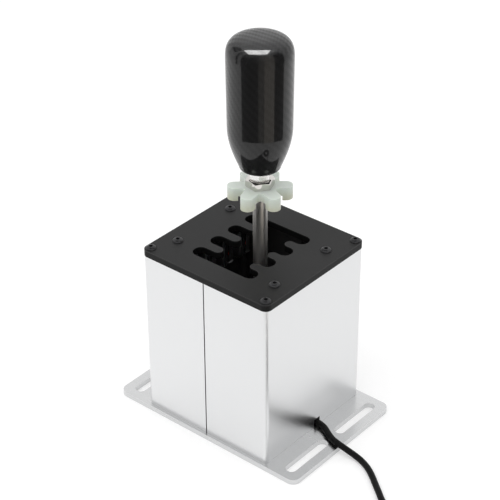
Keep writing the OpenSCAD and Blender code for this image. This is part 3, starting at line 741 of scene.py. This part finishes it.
def grown(name, tree, start, values):
    """A piece made by a tree from a starting mesh, as a plain mesh."""
    thing = link(name, start)
    grower = thing.modifiers.new("grow", "NODES")
    grower.node_group = tree.tree
    for item in tree.tree.interface.items_tree:
        if item.in_out == "INPUT" and item.name in values:
            grower[item.identifier] = values[item.name]
    settle(thing)
    soften(thing.data)
    return thing


def scattered(name, places, pattern, finish):
    """One pattern at each place, each with its own turn about the upright axis."""
    tree, given = new_tree(name + " tree", [("Pattern", "NodeSocketObject"),
                                            ("Most turn", "NodeSocketVector"),
                                            ("Seed", "NodeSocketInt")])
    shape = tree.node("GeometryNodeObjectInfo", {}, {"Object": given["Pattern"]}, out="Geometry")
    turn = tree.node("FunctionNodeRandomValue", {"data_type": "FLOAT_VECTOR"},
                     {1: given["Most turn"], "Seed": given["Seed"]})
    copies = tree.node("GeometryNodeInstanceOnPoints", {},
                       {"Points": given["Geometry"], "Instance": shape, "Rotation": turn})
    end_tree(tree, copies, finish)
    start = bpy.data.meshes.new(name)
    start.from_pydata([tuple(p) for p in places], [], [])
    thing = grown(name, tree, start, {"Pattern": pattern, "Most turn": (0.0, 0.0, 1.0), "Seed": 5})
    bpy.data.objects.remove(pattern)
    return thing


def coiled(name, low, high, turns, radius, wire, finish):
    """A helix of wire along X between two points."""
    tree, given = new_tree(name + " tree", [("Turns", "NodeSocketFloat"),
                                            ("Radius", "NodeSocketFloat"),
                                            ("Wire", "NodeSocketFloat"),
                                            ("Length", "NodeSocketFloat")])
    spiral = tree.node("GeometryNodeCurveSpiral", {},
                       {"Resolution": 40, "Rotations": given["Turns"],
                        "Start Radius": given["Radius"], "End Radius": given["Radius"],
                        "Height": given["Length"]})
    ring = tree.node("GeometryNodeCurvePrimitiveCircle", {"mode": "RADIUS"},
                     {"Resolution": 12, "Radius": given["Wire"]})
    solid = tree.node("GeometryNodeCurveToMesh", {},
                      {"Curve": spiral, "Profile Curve": ring, "Fill Caps": True})
    laid = tree.node("GeometryNodeTransform", {},
                     {"Geometry": solid, "Translation": low,
                      "Rotation": (0, math.radians(90), 0)})
    end_tree(tree, laid, finish)
    return grown(name, tree, bpy.data.meshes.new(name),
                 {"Turns": turns, "Radius": radius, "Wire": wire, "Length": high.x - low.x})


# Studio


def hang(name, points, faces, colour, glow, strength):
    """Hangs a flag or a card in the studio, which shows only in reflections."""
    sheet = link(name, mesh_of(name, points, faces))
    paper = Finish(name).surface(Base_Color=colour, Roughness=1.0, Specular_IOR_Level=0.0,
                                 Emission_Color=(*glow, 1), Emission_Strength=strength)
    paper.cycles.emission_sampling = "NONE"
    sheet.data.materials.append(paper)
    sheet.visible_camera = False
    sheet.visible_diffuse = False
    sheet.visible_shadow = False
    sheet.visible_transmission = False


def make_camera(studio):
    """Camera at the viewer's place. Gives its direction back and its level right."""
    az, el, roll = studio.azimuth, studio.elevation, studio.roll
    back = Vector((math.sin(az) * math.cos(el), -math.cos(az) * math.cos(el), math.sin(el)))
    right = Vector((math.cos(az), math.sin(az), 0))
    up = back.cross(right)
    across = math.cos(roll) * right + math.sin(roll) * up
    upward = math.cos(roll) * up - math.sin(roll) * right
    lens = bpy.data.cameras.new("photo view")
    lens.lens = studio.lens
    lens.sensor_width = 36
    lens.shift_y = studio.shift
    lens.clip_start = 0.01
    camera = link("photo view", lens)
    camera.matrix_world = Matrix((
        (across.x, upward.x, back.x, studio.eye[0]),
        (across.y, upward.y, back.y, studio.eye[1]),
        (across.z, upward.z, back.z, studio.eye[2]),
        (0, 0, 0, 1)))
    bpy.context.scene.camera = camera
    return back, right


def make_floor(studio):
    """Pale floor that keeps the shadow, with white added where it is seen."""
    half = 9
    corners = [(-half, -half, 0), (half, -half, 0), (half, half, 0), (-half, half, 0)]
    ground = Finish("studio floor")
    lift = ground.mix(seen_directly(ground), (0, 0, 0), shade((1, 1, 1), studio.lift))
    floor = link("floor", mesh_of("floor", corners, [(0, 1, 2, 3)]))
    floor.data.materials.append(ground.surface(Base_Color=(0.74, 0.74, 0.74), Roughness=0.9,
                                               Specular_IOR_Level=0.1, Emission_Color=lift,
                                               Emission_Strength=1.0))


def bend_flag(name, aim, angles, section, colour, glow=(0, 0, 0)):
    """Hangs a flag whose section, in distances from the lever and heights, bends round it."""
    first, final = angles
    rows = len(section)
    points = []
    for degrees in range(first, final + 1, 2):
        a = aim + math.radians(degrees)
        points += [(LEVER.x + distance * math.cos(a), LEVER.y + distance * math.sin(a), height)
                   for distance, height in section]
    strips = [(i, i + 1, i + rows + 1, i + rows) for i in range(len(points) - rows)
              if i % rows < rows - 1]
    hang(name, points, strips, colour, glow, 1.0)


def topped_up(colour):
    """The glow that makes a lit sheet of a colour white."""
    return tuple(1 - 0.95 * c for c in colour)


def make_flags(aim):
    """Flags that the metal and the grip mirror, by angles in degrees from the camera."""
    near, away, ring = 0.36, 0.75, 1.6
    foot, lip, gap, middle, ceiling = 0.002, 0.5, 0.9, 1.6, 2.4
    black = (0.005, 0.005, 0.005)
    brown = (0.36, 0.34, 0.31)
    pale = (0.86, 0.79, 0.70)
    for name, angles, start, colour in (("flag_thin", (-85, -77), away, black),
                                        ("flag_left", (-64, -6), near, black),
                                        ("flag_brown", (-6, 14), near, brown),
                                        ("flag_pale", (14, 48), near, pale),
                                        ("flag_right", (48, 84), near, black)):
        bend_flag(name, aim, angles, ((start, foot), (ring, foot), (ring, lip)), colour)
        bend_flag(name + "_upper", aim, angles, ((ring, lip), (ring, middle), (ring, ceiling)),
                  colour, topped_up(colour))
    bend_flag("flag_high_upper", aim, (-126, -98), ((ring, gap), (ring, middle), (ring, ceiling)),
              black, topped_up(black))


def make_card(back, right):
    """Bright card above, which the grip's clear coat mirrors."""
    middle = LEVER + 0.22 * back.cross(Vector((0, 0, 1))) + Vector((0.16, 0.14, 1.5))
    reach = 0.66 * right
    depth = 0.42 * Vector((back.x, back.y, 0)).normalized()
    hang("card", [middle - reach - depth, middle - reach + depth, middle + reach + depth,
                  middle + reach - depth], [(0, 1, 2, 3)], (0, 0, 0), (1, 1, 1), 20.0)


def make_world(studio):
    """White all round, dimmer as light than as it is seen."""
    world = bpy.data.worlds.new("white studio")
    world.use_nodes = True
    world.node_tree.nodes.clear()
    sky = Tree(world.node_tree)
    direct = seen_directly(sky)
    light = sky.node("ShaderNodeBackground", {}, {
        "Color": (1, 1, 1, 1), "Strength": studio.ambient + direct * (1.0 - studio.ambient)})
    end = world.node_tree.nodes.new("ShaderNodeOutputWorld")
    world.node_tree.links.new(light.socket, end.inputs["Surface"])
    bpy.context.scene.world = world


def make_lamps():
    """Two soft lamps aimed at the middle of the shifter."""
    target = Vector((0, 0, 0.12))
    power = 5.0
    for name, place, size in (("key", (0.9, -0.5, 1.5), (0.9, 0.9)),
                              ("top", (0.15, 0.15, 1.6), (0.9, 0.6))):
        lamp = bpy.data.lights.new(name, "AREA")
        lamp.shape = "RECTANGLE"
        lamp.size, lamp.size_y = size
        lamp.energy = power
        box = link(name, lamp)
        box.location = place
        box.rotation_mode = "QUATERNION"
        box.rotation_quaternion = (target - Vector(place)).to_track_quat("-Z", "Y")
        box.visible_glossy = False


def make_studio(studio):
    """Camera, floor, flags and lights."""
    bpy.context.scene.view_settings.view_transform = "Standard"
    back, right = make_camera(studio)
    make_floor(studio)
    make_flags(math.atan2(back.y, back.x))
    make_card(back, right)
    make_world(studio)
    make_lamps()


# Pieces


# Cable route in millimetres, as in the part's source
FREE_ROUTE = [(-4, 44, 6.5), (-4, 50, 6.5), (-4, 56, 6.5), (-2.5, 62, 6.5), (1, 68, 6.5),
              (4, 74, 6.5), (5.5, 80, 6.5), (5.5, 88, 5), (5, 95, 3), (6, 101, 2.3), (9, 108, 2.3),
              (13.5, 115, 2.3), (19, 122, 2.3), (24.5, 129, 2.3), (30, 136, 2.3), (34, 144, 2.4),
              (36.5, 151, 2.7), (37.7, 158, 3.1)]
COIL_MIDDLE = (75, 174, 3.3)
PLUG_LEAD = 30
PLUG_Z = 4.4


def cable_path(cable):
    """Centre line of the cable from the board's connector to the plug, in metres."""
    width, step, outer = (v / MM for v in (cable.width, cable.step, cable.outer))
    turns = cable.turns
    inner = outer - turns * step
    x, y, z = COIL_MIDDLE
    foot = Vector((x - outer, y, z))
    free = [*FREE_ROUTE, foot - Vector((0, 2 * width, 0))]
    line = smooth_line(free, 4) + [foot - Vector((0, width, 0))]
    count = 36
    for i in range(int((2 * turns + 0.5) * count) + 1):
        t = i / count
        if t < turns + 0.25:
            r = outer - step * t
        else:
            r = inner + step * (t - turns - 0.5)
        rise = step * max(0.0, min(1.0, 2 * (t - turns)))
        a = math.pi - math.tau * t
        line.append(Vector((x + r * math.cos(a), y + r * math.sin(a), z + rise)))
    last = line[-1]
    for k in range(1, 8):
        u = k / 8
        ease = (1 - math.cos(math.pi * u)) / 2
        line.append(Vector((last.x + ease, last.y - u * (PLUG_LEAD - width),
                            last.z + ease * (PLUG_Z - last.z))))
    start = Vector((last.x + 1, last.y - PLUG_LEAD, PLUG_Z))
    line += [start + Vector((0, width, 0)), start]
    return [p * MM for p in line]


def wrapped(outline, radius):
    """A loop at a distance round an outline, whose corners come anticlockwise."""
    loop = []
    for i, (x, z) in enumerate(outline):
        before, after = outline[i - 1], outline[(i + 1) % len(outline)]
        first = math.atan2(z - before[1], x - before[0])
        swing = (math.atan2(after[1] - z, after[0] - x) - first) % math.tau
        steps = max(1, round(swing / math.radians(12)))
        for k in range(steps + 1):
            a = first + swing * k / steps - math.pi / 2
            loop.append((x + radius * math.cos(a), z + radius * math.sin(a)))
    return loop


def make_strap(path, cable):
    """Strap pulled tight round all the turns of the coil."""
    angle, wide, thick = math.radians(60), 9 * MM, 0.7 * MM
    hold = cable.width / 2 + 0.12 * MM
    outward = Vector((math.cos(angle), math.sin(angle), 0))
    along = Vector((-outward.y, outward.x, 0))
    middle = Vector((COIL_MIDDLE[0], COIL_MIDDLE[1], 0)) * MM
    spots = [p - middle for p in path]
    turns = [(s.dot(outward), s.z) for s in spots
             if abs(s.dot(along)) < wide / 2 + 1 * MM and s.dot(outward) > 0]
    outline = [turns[i] for i in convex_hull_2d(turns)]
    area = sum(a[0] * b[1] - b[0] * a[1] for a, b in zip(outline, outline[1:] + outline[:1]))
    if area < 0:
        outline.reverse()
    points = []
    for radius, side in ((hold + thick, -1), (hold + thick, 1), (hold, 1), (hold, -1)):
        points += [middle + r * outward + side * wide / 2 * along + Vector((0, 0, z))
                   for r, z in wrapped(outline, radius)]
    count = len(points) // 4
    faces = []
    for ring in range(4):
        low, high = ring * count, (ring + 1) % 4 * count
        for i in range(count):
            k = (i + 1) % count
            faces.append((low + i, low + k, high + k, high + i))
    loose = mesh_of("loose strap", points, faces)
    bm = bmesh.new()
    bm.from_mesh(loose)
    bpy.data.meshes.remove(loose)
    bmesh.ops.remove_doubles(bm, verts=bm.verts, dist=0.005 * MM)
    bmesh.ops.recalc_face_normals(bm, faces=bm.faces)
    return link("tie_strap", soften(mesh_from("tie_strap", bm)))


def plug_ribs(foot):
    """Ribs round the plug's tail, wider one by one from its foot."""
    first, pitch, radius, growth = 2.2 * MM, 1.9 * MM, 2.75 * MM, 0.13 * MM
    tall, half, crest = 0.5 * MM, 0.45 * MM, 0.2 * MM
    ribs = []
    for k in range(5):
        r = radius + growth * k
        inner = r - tall
        rib = lathe("rib", [(inner, -half), (r, -crest), (r, crest), (inner, half), (inner, -half)],
                    ORIGIN, 32)
        rib.data.transform(Matrix.Translation((foot.x, foot.y - first - pitch * k, foot.z))
                           @ Matrix.Rotation(math.radians(90), 4, "X"))
        ribs.append(rib)
    return ribs


def make_plug():
    """Plug's ribbed moulding, shell, tongue and contacts."""
    _, high, middle = span("plug_body")
    moulding = eased_copy("plug_body", "plug_moulding", 0.7 * MM, 4)
    ribs = plug_ribs(Vector((middle.x, high.y, middle.z)))
    body = join("plug_moulding_ribbed", [moulding, *ribs])
    dress(body, "plug", "housing", "cable_sheath", "plug_body")

    shell = eased_copy("plug_shell", "plug_shell_eased", 0.12 * MM)
    dress(shell, "shell", "housing", "plug_metal", "plug_shell")

    low, high, middle = span("plug_shell")
    side, front, roof = 0.6 * MM, 1 * MM, 0.55 * MM
    tongue = block("plug_tongue", (low.x + side, low.y + front, middle.z + 0.2 * MM),
                   (high.x - side, high.y, high.z - roof), 0.1 * MM)
    dress(tongue, "ivory", "housing", "ivory_plastic")

    pitch, half = 2.3 * MM, 0.5 * MM
    contacts = []
    for k in range(4):
        x = middle.x + (k - 1.5) * pitch
        contacts.append(block("contact", (x - half, low.y + 1.6 * MM, middle.z + 0.02 * MM),
                              (x + half, high.y - 1 * MM, middle.z + 0.24 * MM), 0.03 * MM))
    contacts = join("plug_contacts", contacts)
    dress(contacts, "contact", "housing", "terminal_brass")
    return [body, shell, tongue, contacts]


def make_cable(cable):
    """Cable with its coil, tie and plug."""
    path = cable_path(cable)
    length = sum((b - a).length for a, b in zip(path, path[1:]))
    cord = pipe("cable", path, cable.width / 2)
    dress(cord, "sheath", "housing", "cable_sheath", "usb_cable", "cable_coil")
    tie = make_strap(path, cable)
    dress(tie, "strap", "housing", "cable_sheath", "coil_tie")
    plug = make_plug()


def make_frame():
    """Housing halves, base plate and gate plate with eased edges."""
    for node, name in (("housing_rear", "rear_half"), ("housing_front", "front_half")):
        dress(eased_copy(node, name, 0.12 * MM), "housing", "housing", "satin_aluminium", node)
    # The base plate's second finish is a painted highlight on its eased edges
    base = eased_copy("base_plate", "slotted_base", 0.5 * MM, 3, ("base", "base edge"))
    dress(base, None, "housing", "satin_aluminium", "base_plate")
    # The gate's second finish is a painted highlight on its eased edges
    gate = eased_copy("gate_plate", "slotted_gate", 0.6 * MM, 3, ("gate", "gate edge"))
    dress(gate, None, "housing", "black_gate", "gate_plate")


# Screw sizes
BUTTON_HEAD = 3.8 * MM
SUNK_HEAD = 4 * MM
SCREW_CORE = 1.65 * MM


def socketed(screw, top, socket):
    """Cuts a screw's round socket to a hexagon, from zero up to a height."""
    flats = 2 * socket * math.cos(math.radians(30))
    return hexed(screw, ORIGIN, 0.0, top, socket + 0.01 * MM, flats)


def button_pattern():
    """One button-head screw about the origin, its head's underside at zero."""
    tall, reach, socket, deep = 2.2 * MM, 19 * MM, 1.46 * MM, 1.3 * MM
    dome = [(BUTTON_HEAD * math.cos(a), tall * math.sin(a))
            for a in (math.radians(d) for d in range(0, 66, 6))]
    top = dome[-1][1]
    screw = lathe("button pattern", [
        (0, -reach), (SCREW_CORE, -reach), (SCREW_CORE, 0), (BUTTON_HEAD - 0.15 * MM, 0), *dome,
        (socket + 0.25 * MM, top + 0.02 * MM), (socket, top - 0.15 * MM), (socket, top - deep),
        (0, top - deep - 0.2 * MM)], ORIGIN, 48)
    return socketed(screw, top, socket)


def sunk_pattern():
    """One countersunk screw about the origin, its head down and flush at zero."""
    slack, reach, socket, deep = 0.1 * MM, 17.9 * MM, 1.45 * MM, 1.2 * MM
    screw = lathe("sunk pattern", [
        (0, slack + deep + 0.1 * MM), (socket, slack + deep), (socket, slack),
        (SUNK_HEAD - 0.1 * MM, slack), (SUNK_HEAD, slack + 0.1 * MM),
        (SCREW_CORE, slack + SUNK_HEAD - SCREW_CORE), (SCREW_CORE, reach), (0, reach)], ORIGIN, 48)
    return socketed(screw, slack + deep + 0.05 * MM, socket)


def corners_of(node, height, inset):
    """The four places of a set of screws, from the box that they fill."""
    low, high, _ = span(node)
    return [(x, y, height) for x in (low.x + inset, high.x - inset)
            for y in (low.y + inset, high.y - inset)]


def make_screws():
    """Screws of the gate and of the base, each set grown on its places."""
    top = span("gate_plate")[1].z
    for node, name in (("gate_corner_screws", "corner_screws"), ("rail_screws", "inner_screws")):
        places = corners_of(node, top, BUTTON_HEAD)
        dress(scattered(name, places, button_pattern(), "screw"), "screw", "housing",
              "black_screw", node)
    for node, name in (("base_screws", "base_sunk_screws"), ("block_screws", "block_sunk_screws")):
        places = corners_of(node, 0.0, SUNK_HEAD)
        dress(scattered(name, places, sunk_pattern(), "zinc"), "zinc", "housing",
              "bright_screw", node)


def make_collar(rod_radius):
    """Hexagonal collar under the grip, with the stud that the grip takes."""
    low, high, _ = span("knob_insert")
    seat = span("knob")[0].z
    bore, stud, flats, chamfer = rod_radius + 0.02 * MM, 7.5 * MM, 13 * MM, 0.8 * MM
    corner = flats / math.sqrt(3)
    top = seat - 0.05 * MM
    collar = lathe("hex_collar", [(bore, low.z), (corner - 0.9 * MM, low.z),
                                  (corner - 0.45 * MM, low.z + 0.15 * MM),
                                  (corner, low.z + 0.45 * MM), (corner, top),
                                  (bore + 1 * MM, top), (stud, seat),
                                  (stud, high.z - chamfer), (stud - chamfer, high.z),
                                  (bore, high.z), (bore, low.z)], LEVER, 72)
    hexed(collar, LEVER, low.z - MM, seat - 0.01 * MM, 2 * corner, flats, math.radians(35))
    dress(collar, "bright", "lever", "satin_aluminium", "knob_insert")


def make_star_hub(rod_radius):
    """Hub of the star wheel: a sleeve through it and a hexagon on top, with a domed rim."""
    low, high, _ = span("star_hub")
    web = span("star_wheel")[1].z + 0.05 * MM
    bore, sleeve, flats, chamfer = rod_radius + 0.3 * MM, 7 * MM, 17.5 * MM, 0.7 * MM
    corner = flats / math.sqrt(3)
    rim = [(corner - 0.25 * MM * k, high.z - 1.1 * MM + 0.15 * MM * k) for k in range(8)]
    hub = lathe("star_hex", [(bore, low.z), (sleeve, low.z), (sleeve, web),
                             (corner - 0.3 * MM, web), (corner, web + 0.3 * MM), *rim,
                             (bore + chamfer, high.z),
                             (bore, high.z - chamfer), (bore, low.z)], LEVER, 72)
    hexed(hub, LEVER, web - 0.01 * MM, high.z + MM, 2 * corner, flats, math.radians(20))
    dress(hub, "chrome", "star_nut", "machined_steel", "star_hub")


def make_lever():
    """Rod, collar, star hub and the lever's foot."""
    low, high, _ = span("lever_rod")
    r = (high.x - low.x) / 2
    chamfer = 0.6 * MM
    rod = lathe("polished_rod", [(0, low.z), (r - chamfer, low.z), (r, low.z + chamfer),
                                 (r, high.z - chamfer), (r - chamfer, high.z), (0, high.z)], LEVER)
    dress(rod, "rod", "lever", "polished_rod", "lever_rod")
    make_collar(r)
    make_star_hub(r)
    foot = eased_copy("lever_hub", "lever_foot", 0.5 * MM)
    dress(foot, "machined", "lever", "satin_aluminium", "lever_hub")
    nut = eased_copy("rod_lock_nut", "lock_nut", 0.6 * MM, 3)
    dress(nut, "zinc", "lever", "machined_steel", "rod_lock_nut")


def make_star(star):
    """Star wheel with rounded edges."""
    wheel = eased_copy("star_wheel", "star_lobes", star.edge, 4)
    dress(wheel, "nylon", "star_nut", "white_nylon", "star_wheel")


def light_grip(knob):
    """Keeps the card's light to the grip's clear coat, and the upper flags' white out of it."""
    for sheets, state in ((("card",), "INCLUDE"),
                          ([o.name for o in bpy.data.objects if o.name.endswith("_upper")],
                           "EXCLUDE")):
        group = bpy.data.collections.new("grip light " + state.lower())
        group.objects.link(knob)
        group.collection_objects[0].light_linking.link_state = state
        for sheet in sheets:
            bpy.data.objects[sheet].light_linking.receiver_collection = group


def grip_profile(grip):
    """Half section of the grip: bore, soft foot, swelling body and domed top."""
    low, high, _ = span("knob")
    base = low.z
    widest = (high.x - low.x) / 2
    dome_z = high.z - base - grip.dome
    bore, bore_top = 7.52 * MM, base + 34.2 * MM
    edge_steps, body_steps, dome_steps = 8, 40, 32

    def body_radius(z):
        if z < grip.swell:
            return grip.foot + (widest - grip.flare - grip.foot) * math.sin(
                math.pi / 2 * z / grip.swell)
        return widest - grip.flare * (1 - (z - grip.swell) / (dome_z - grip.swell))

    profile = [(0, bore_top), (bore, bore_top), (bore, base)]
    for k in range(edge_steps + 1):
        a = math.radians(-90 + 10 * k)
        profile.append((body_radius(grip.edge) - grip.edge * (1 - math.cos(a)),
                        base + grip.edge * (1 + math.sin(a))))
    for k in range(body_steps + 1):
        z = grip.edge + (dome_z - grip.edge) * k / body_steps
        profile.append((body_radius(z), base + z))
    for k in range(1, dome_steps + 1):
        u = math.sin(math.pi / 2 * k / dome_steps)
        r = widest * max(0.0, 1 - u ** grip.fullness) ** (1 / grip.fullness)
        profile.append((r if k < dome_steps else 0.0, base + dome_z + u * grip.dome))
    return profile


def lay_crown(knob, crown):
    """Maps the weave flat over the grip's dome above a height."""
    turn = math.radians(141)
    layer = knob.data.uv_layers["weave"].uv
    for face in knob.data.polygons:
        if face.center.z < crown:
            continue
        for corner in face.loop_indices:
            spot = knob.data.vertices[knob.data.loops[corner].vertex_index].co - LEVER
            layer[corner].vector = (spot.x * math.cos(turn) + spot.y * math.sin(turn),
                                    spot.y * math.cos(turn) - spot.x * math.sin(turn))


def make_grip(grip):
    """Grip, mapped for its weave."""
    knob = lathe("carbon_grip", grip_profile(grip), LEVER, 128)
    lay_crown(knob, crown_height(grip))
    dress(knob, "carbon", "lever", "carbon_weave", "knob")
    light_grip(knob)


def make_slide():
    """Centring springs, sleeve and shaft."""
    turns, radius, wire = 4.0, 8 * MM, 0.5 * MM
    for node, name in (("left_spring", "left_centring"), ("right_spring", "right_centring")):
        low, high, middle = span(node)
        start = Vector((low.x + wire, middle.y, SHAFT.z))
        end = Vector((high.x - wire, middle.y, SHAFT.z))
        coil = coiled(name, start, end, turns, radius, wire, "spring")
        coat(coil, "spring")
        first, final = (low, high) if node == "left_spring" else (high, low)
        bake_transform(coil, "housing", "carrier", start=(first.x, 0, SHAFT.z), end=(final.x, 0, SHAFT.z))
        weights = coil.data.attributes["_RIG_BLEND"].data
        for vertex, weight in zip(coil.data.vertices, weights):
            share = (vertex.co.x - first.x) / (final.x - first.x)
            weight.value = max(0.0, min(1.0, share))
        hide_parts(node)
    paint("rod", "cross_shaft")
    paint("bronze", "slide_sleeve", "thrust_washer")
    paint("machined", "left_pivot_block", "right_pivot_block")
    paint("screw", "shaft_set_screws")


def make_switches():
    """Finishes of the switches under the gate."""
    paint("machined", "rear_switch_rail", "front_switch_rail")
    paint("case", "rear_switches", "front_switches")
    paint("red", "switch_plungers")
    paint("brass", "switch_terminals")
    paint("zinc", "switch_screws")
    paint("spring", *[node for node in NODES if node.startswith("arm_")])


# Wire routes in millimetres, as in the part's source
REAR_LOOM = [(34.2, -42.75, 121), (34.2, -42.75, 91), (34.2, -42.75, 30), (34.2, -39.75, 14),
             (31.2, -30.75, 8), (26.2, -10, 7.5), (14, 6, 9), (14, 13, 15.6), (14, 19.2, 16.6)]
FRONT_LOOM = [(-20.4, 42.75, 121), (-20.4, 42.75, 91), (-14, 40.75, 60), (-14, 36, 40),
              (-14, 32.5, 27.6), (-14, 32.5, 19.8)]
LOOM_RADIUS = 1.95 * MM


def make_electronics():
    """Board, its fittings and the two wire looms."""
    paint("board", "controller_board")
    paint("case", "board_parts", "cable_clamp")
    paint("brass", "board_standoffs")
    paint("zinc", "board_screws", "clamp_screw")
    paint("ivory", "cable_connector")
    for node, name, route in (("rear_loom", "rear_wires", REAR_LOOM),
                              ("front_loom", "front_wires", FRONT_LOOM)):
        wires = pipe(name, [p * MM for p in smooth_line(route, 6)], LOOM_RADIUS, 16)
        dress(wires, "sheath", "housing", "cable_sheath", node)


# Operators


class SHIFTER_OT_studio(bpy.types.Operator):
    """Make the camera, floor and lights"""

    bl_idname = "shifter.studio"
    bl_label = "Studio"

    def execute(self, context):
        make_studio(context.scene.shifter_studio)
        return {"FINISHED"}


class SHIFTER_OT_finishes(bpy.types.Operator):
    """Make every finish"""

    bl_idname = "shifter.finishes"
    bl_label = "Finishes"

    def execute(self, context):
        scene = context.scene
        FINISHES.update(make_finishes(scene.shifter_finish, scene.shifter_grip))
        return {"FINISHED"}


class SHIFTER_OT_cable(bpy.types.Operator):
    """Make the cable, its coil, tie and plug"""

    bl_idname = "shifter.cable"
    bl_label = "Cable"

    def execute(self, context):
        make_cable(context.scene.shifter_cable)
        return {"FINISHED"}


class SHIFTER_OT_frame(bpy.types.Operator):
    """Make the housing, base plate and gate plate"""

    bl_idname = "shifter.frame"
    bl_label = "Housing and plates"

    def execute(self, context):
        make_frame()
        return {"FINISHED"}


class SHIFTER_OT_screws(bpy.types.Operator):
    """Make the screws of the gate and of the base"""

    bl_idname = "shifter.screws"
    bl_label = "Screws"

    def execute(self, context):
        make_screws()
        return {"FINISHED"}


class SHIFTER_OT_lever(bpy.types.Operator):
    """Make the rod, its collar and its foot"""

    bl_idname = "shifter.lever"
    bl_label = "Lever"

    def execute(self, context):
        make_lever()
        return {"FINISHED"}


class SHIFTER_OT_star(bpy.types.Operator):
    """Make the star wheel"""

    bl_idname = "shifter.star"
    bl_label = "Star wheel"

    def execute(self, context):
        make_star(context.scene.shifter_star)
        return {"FINISHED"}


class SHIFTER_OT_grip(bpy.types.Operator):
    """Make the grip"""

    bl_idname = "shifter.grip"
    bl_label = "Grip"

    def execute(self, context):
        make_grip(context.scene.shifter_grip)
        return {"FINISHED"}


class SHIFTER_OT_slide(bpy.types.Operator):
    """Make the centring springs and finish the slide"""

    bl_idname = "shifter.slide"
    bl_label = "Slide"

    def execute(self, context):
        make_slide()
        return {"FINISHED"}


class SHIFTER_OT_switches(bpy.types.Operator):
    """Finish the switches and their arms"""

    bl_idname = "shifter.switches"
    bl_label = "Switches"

    def execute(self, context):
        make_switches()
        return {"FINISHED"}


class SHIFTER_OT_electronics(bpy.types.Operator):
    """Finish the board and make the wire looms"""

    bl_idname = "shifter.electronics"
    bl_label = "Electronics"

    def execute(self, context):
        make_electronics()
        return {"FINISHED"}


STEPS = (SHIFTER_OT_studio, SHIFTER_OT_finishes, SHIFTER_OT_cable, SHIFTER_OT_frame,
         SHIFTER_OT_screws, SHIFTER_OT_lever, SHIFTER_OT_star, SHIFTER_OT_grip, SHIFTER_OT_slide,
         SHIFTER_OT_switches, SHIFTER_OT_electronics)
SETTINGS = (("shifter_grip", GripSettings), ("shifter_star", StarSettings),
            ("shifter_cable", CableSettings), ("shifter_finish", FinishSettings),
            ("shifter_studio", StudioSettings))


class SHIFTER_PT_panel(bpy.types.Panel):
    """Lists the settings and the steps"""

    bl_idname = "SHIFTER_PT_panel"
    bl_label = "Gear shifter"
    bl_space_type = "VIEW_3D"
    bl_region_type = "UI"
    bl_category = "Shifter"

    def draw(self, context):
        for name, group in SETTINGS:
            box = self.layout.box()
            for field in group.__annotations__:
                box.prop(getattr(context.scene, name), field)
        for step in STEPS:
            self.layout.operator(step.bl_idname)


CLASSES = (*(group for _, group in SETTINGS), *STEPS, SHIFTER_PT_panel)


def register():
    for cls in CLASSES:
        bpy.utils.register_class(cls)
    for name, group in SETTINGS:
        setattr(bpy.types.Scene, name, PointerProperty(type=group))


def unregister():
    for name, _ in SETTINGS:
        delattr(bpy.types.Scene, name)
    for cls in reversed(CLASSES):
        bpy.utils.unregister_class(cls)


def main():
    register()
    for step in STEPS:
        group, name = step.bl_idname.split(".")
        getattr(getattr(bpy.ops, group), name)()


if __name__ == "__main__":
    main()
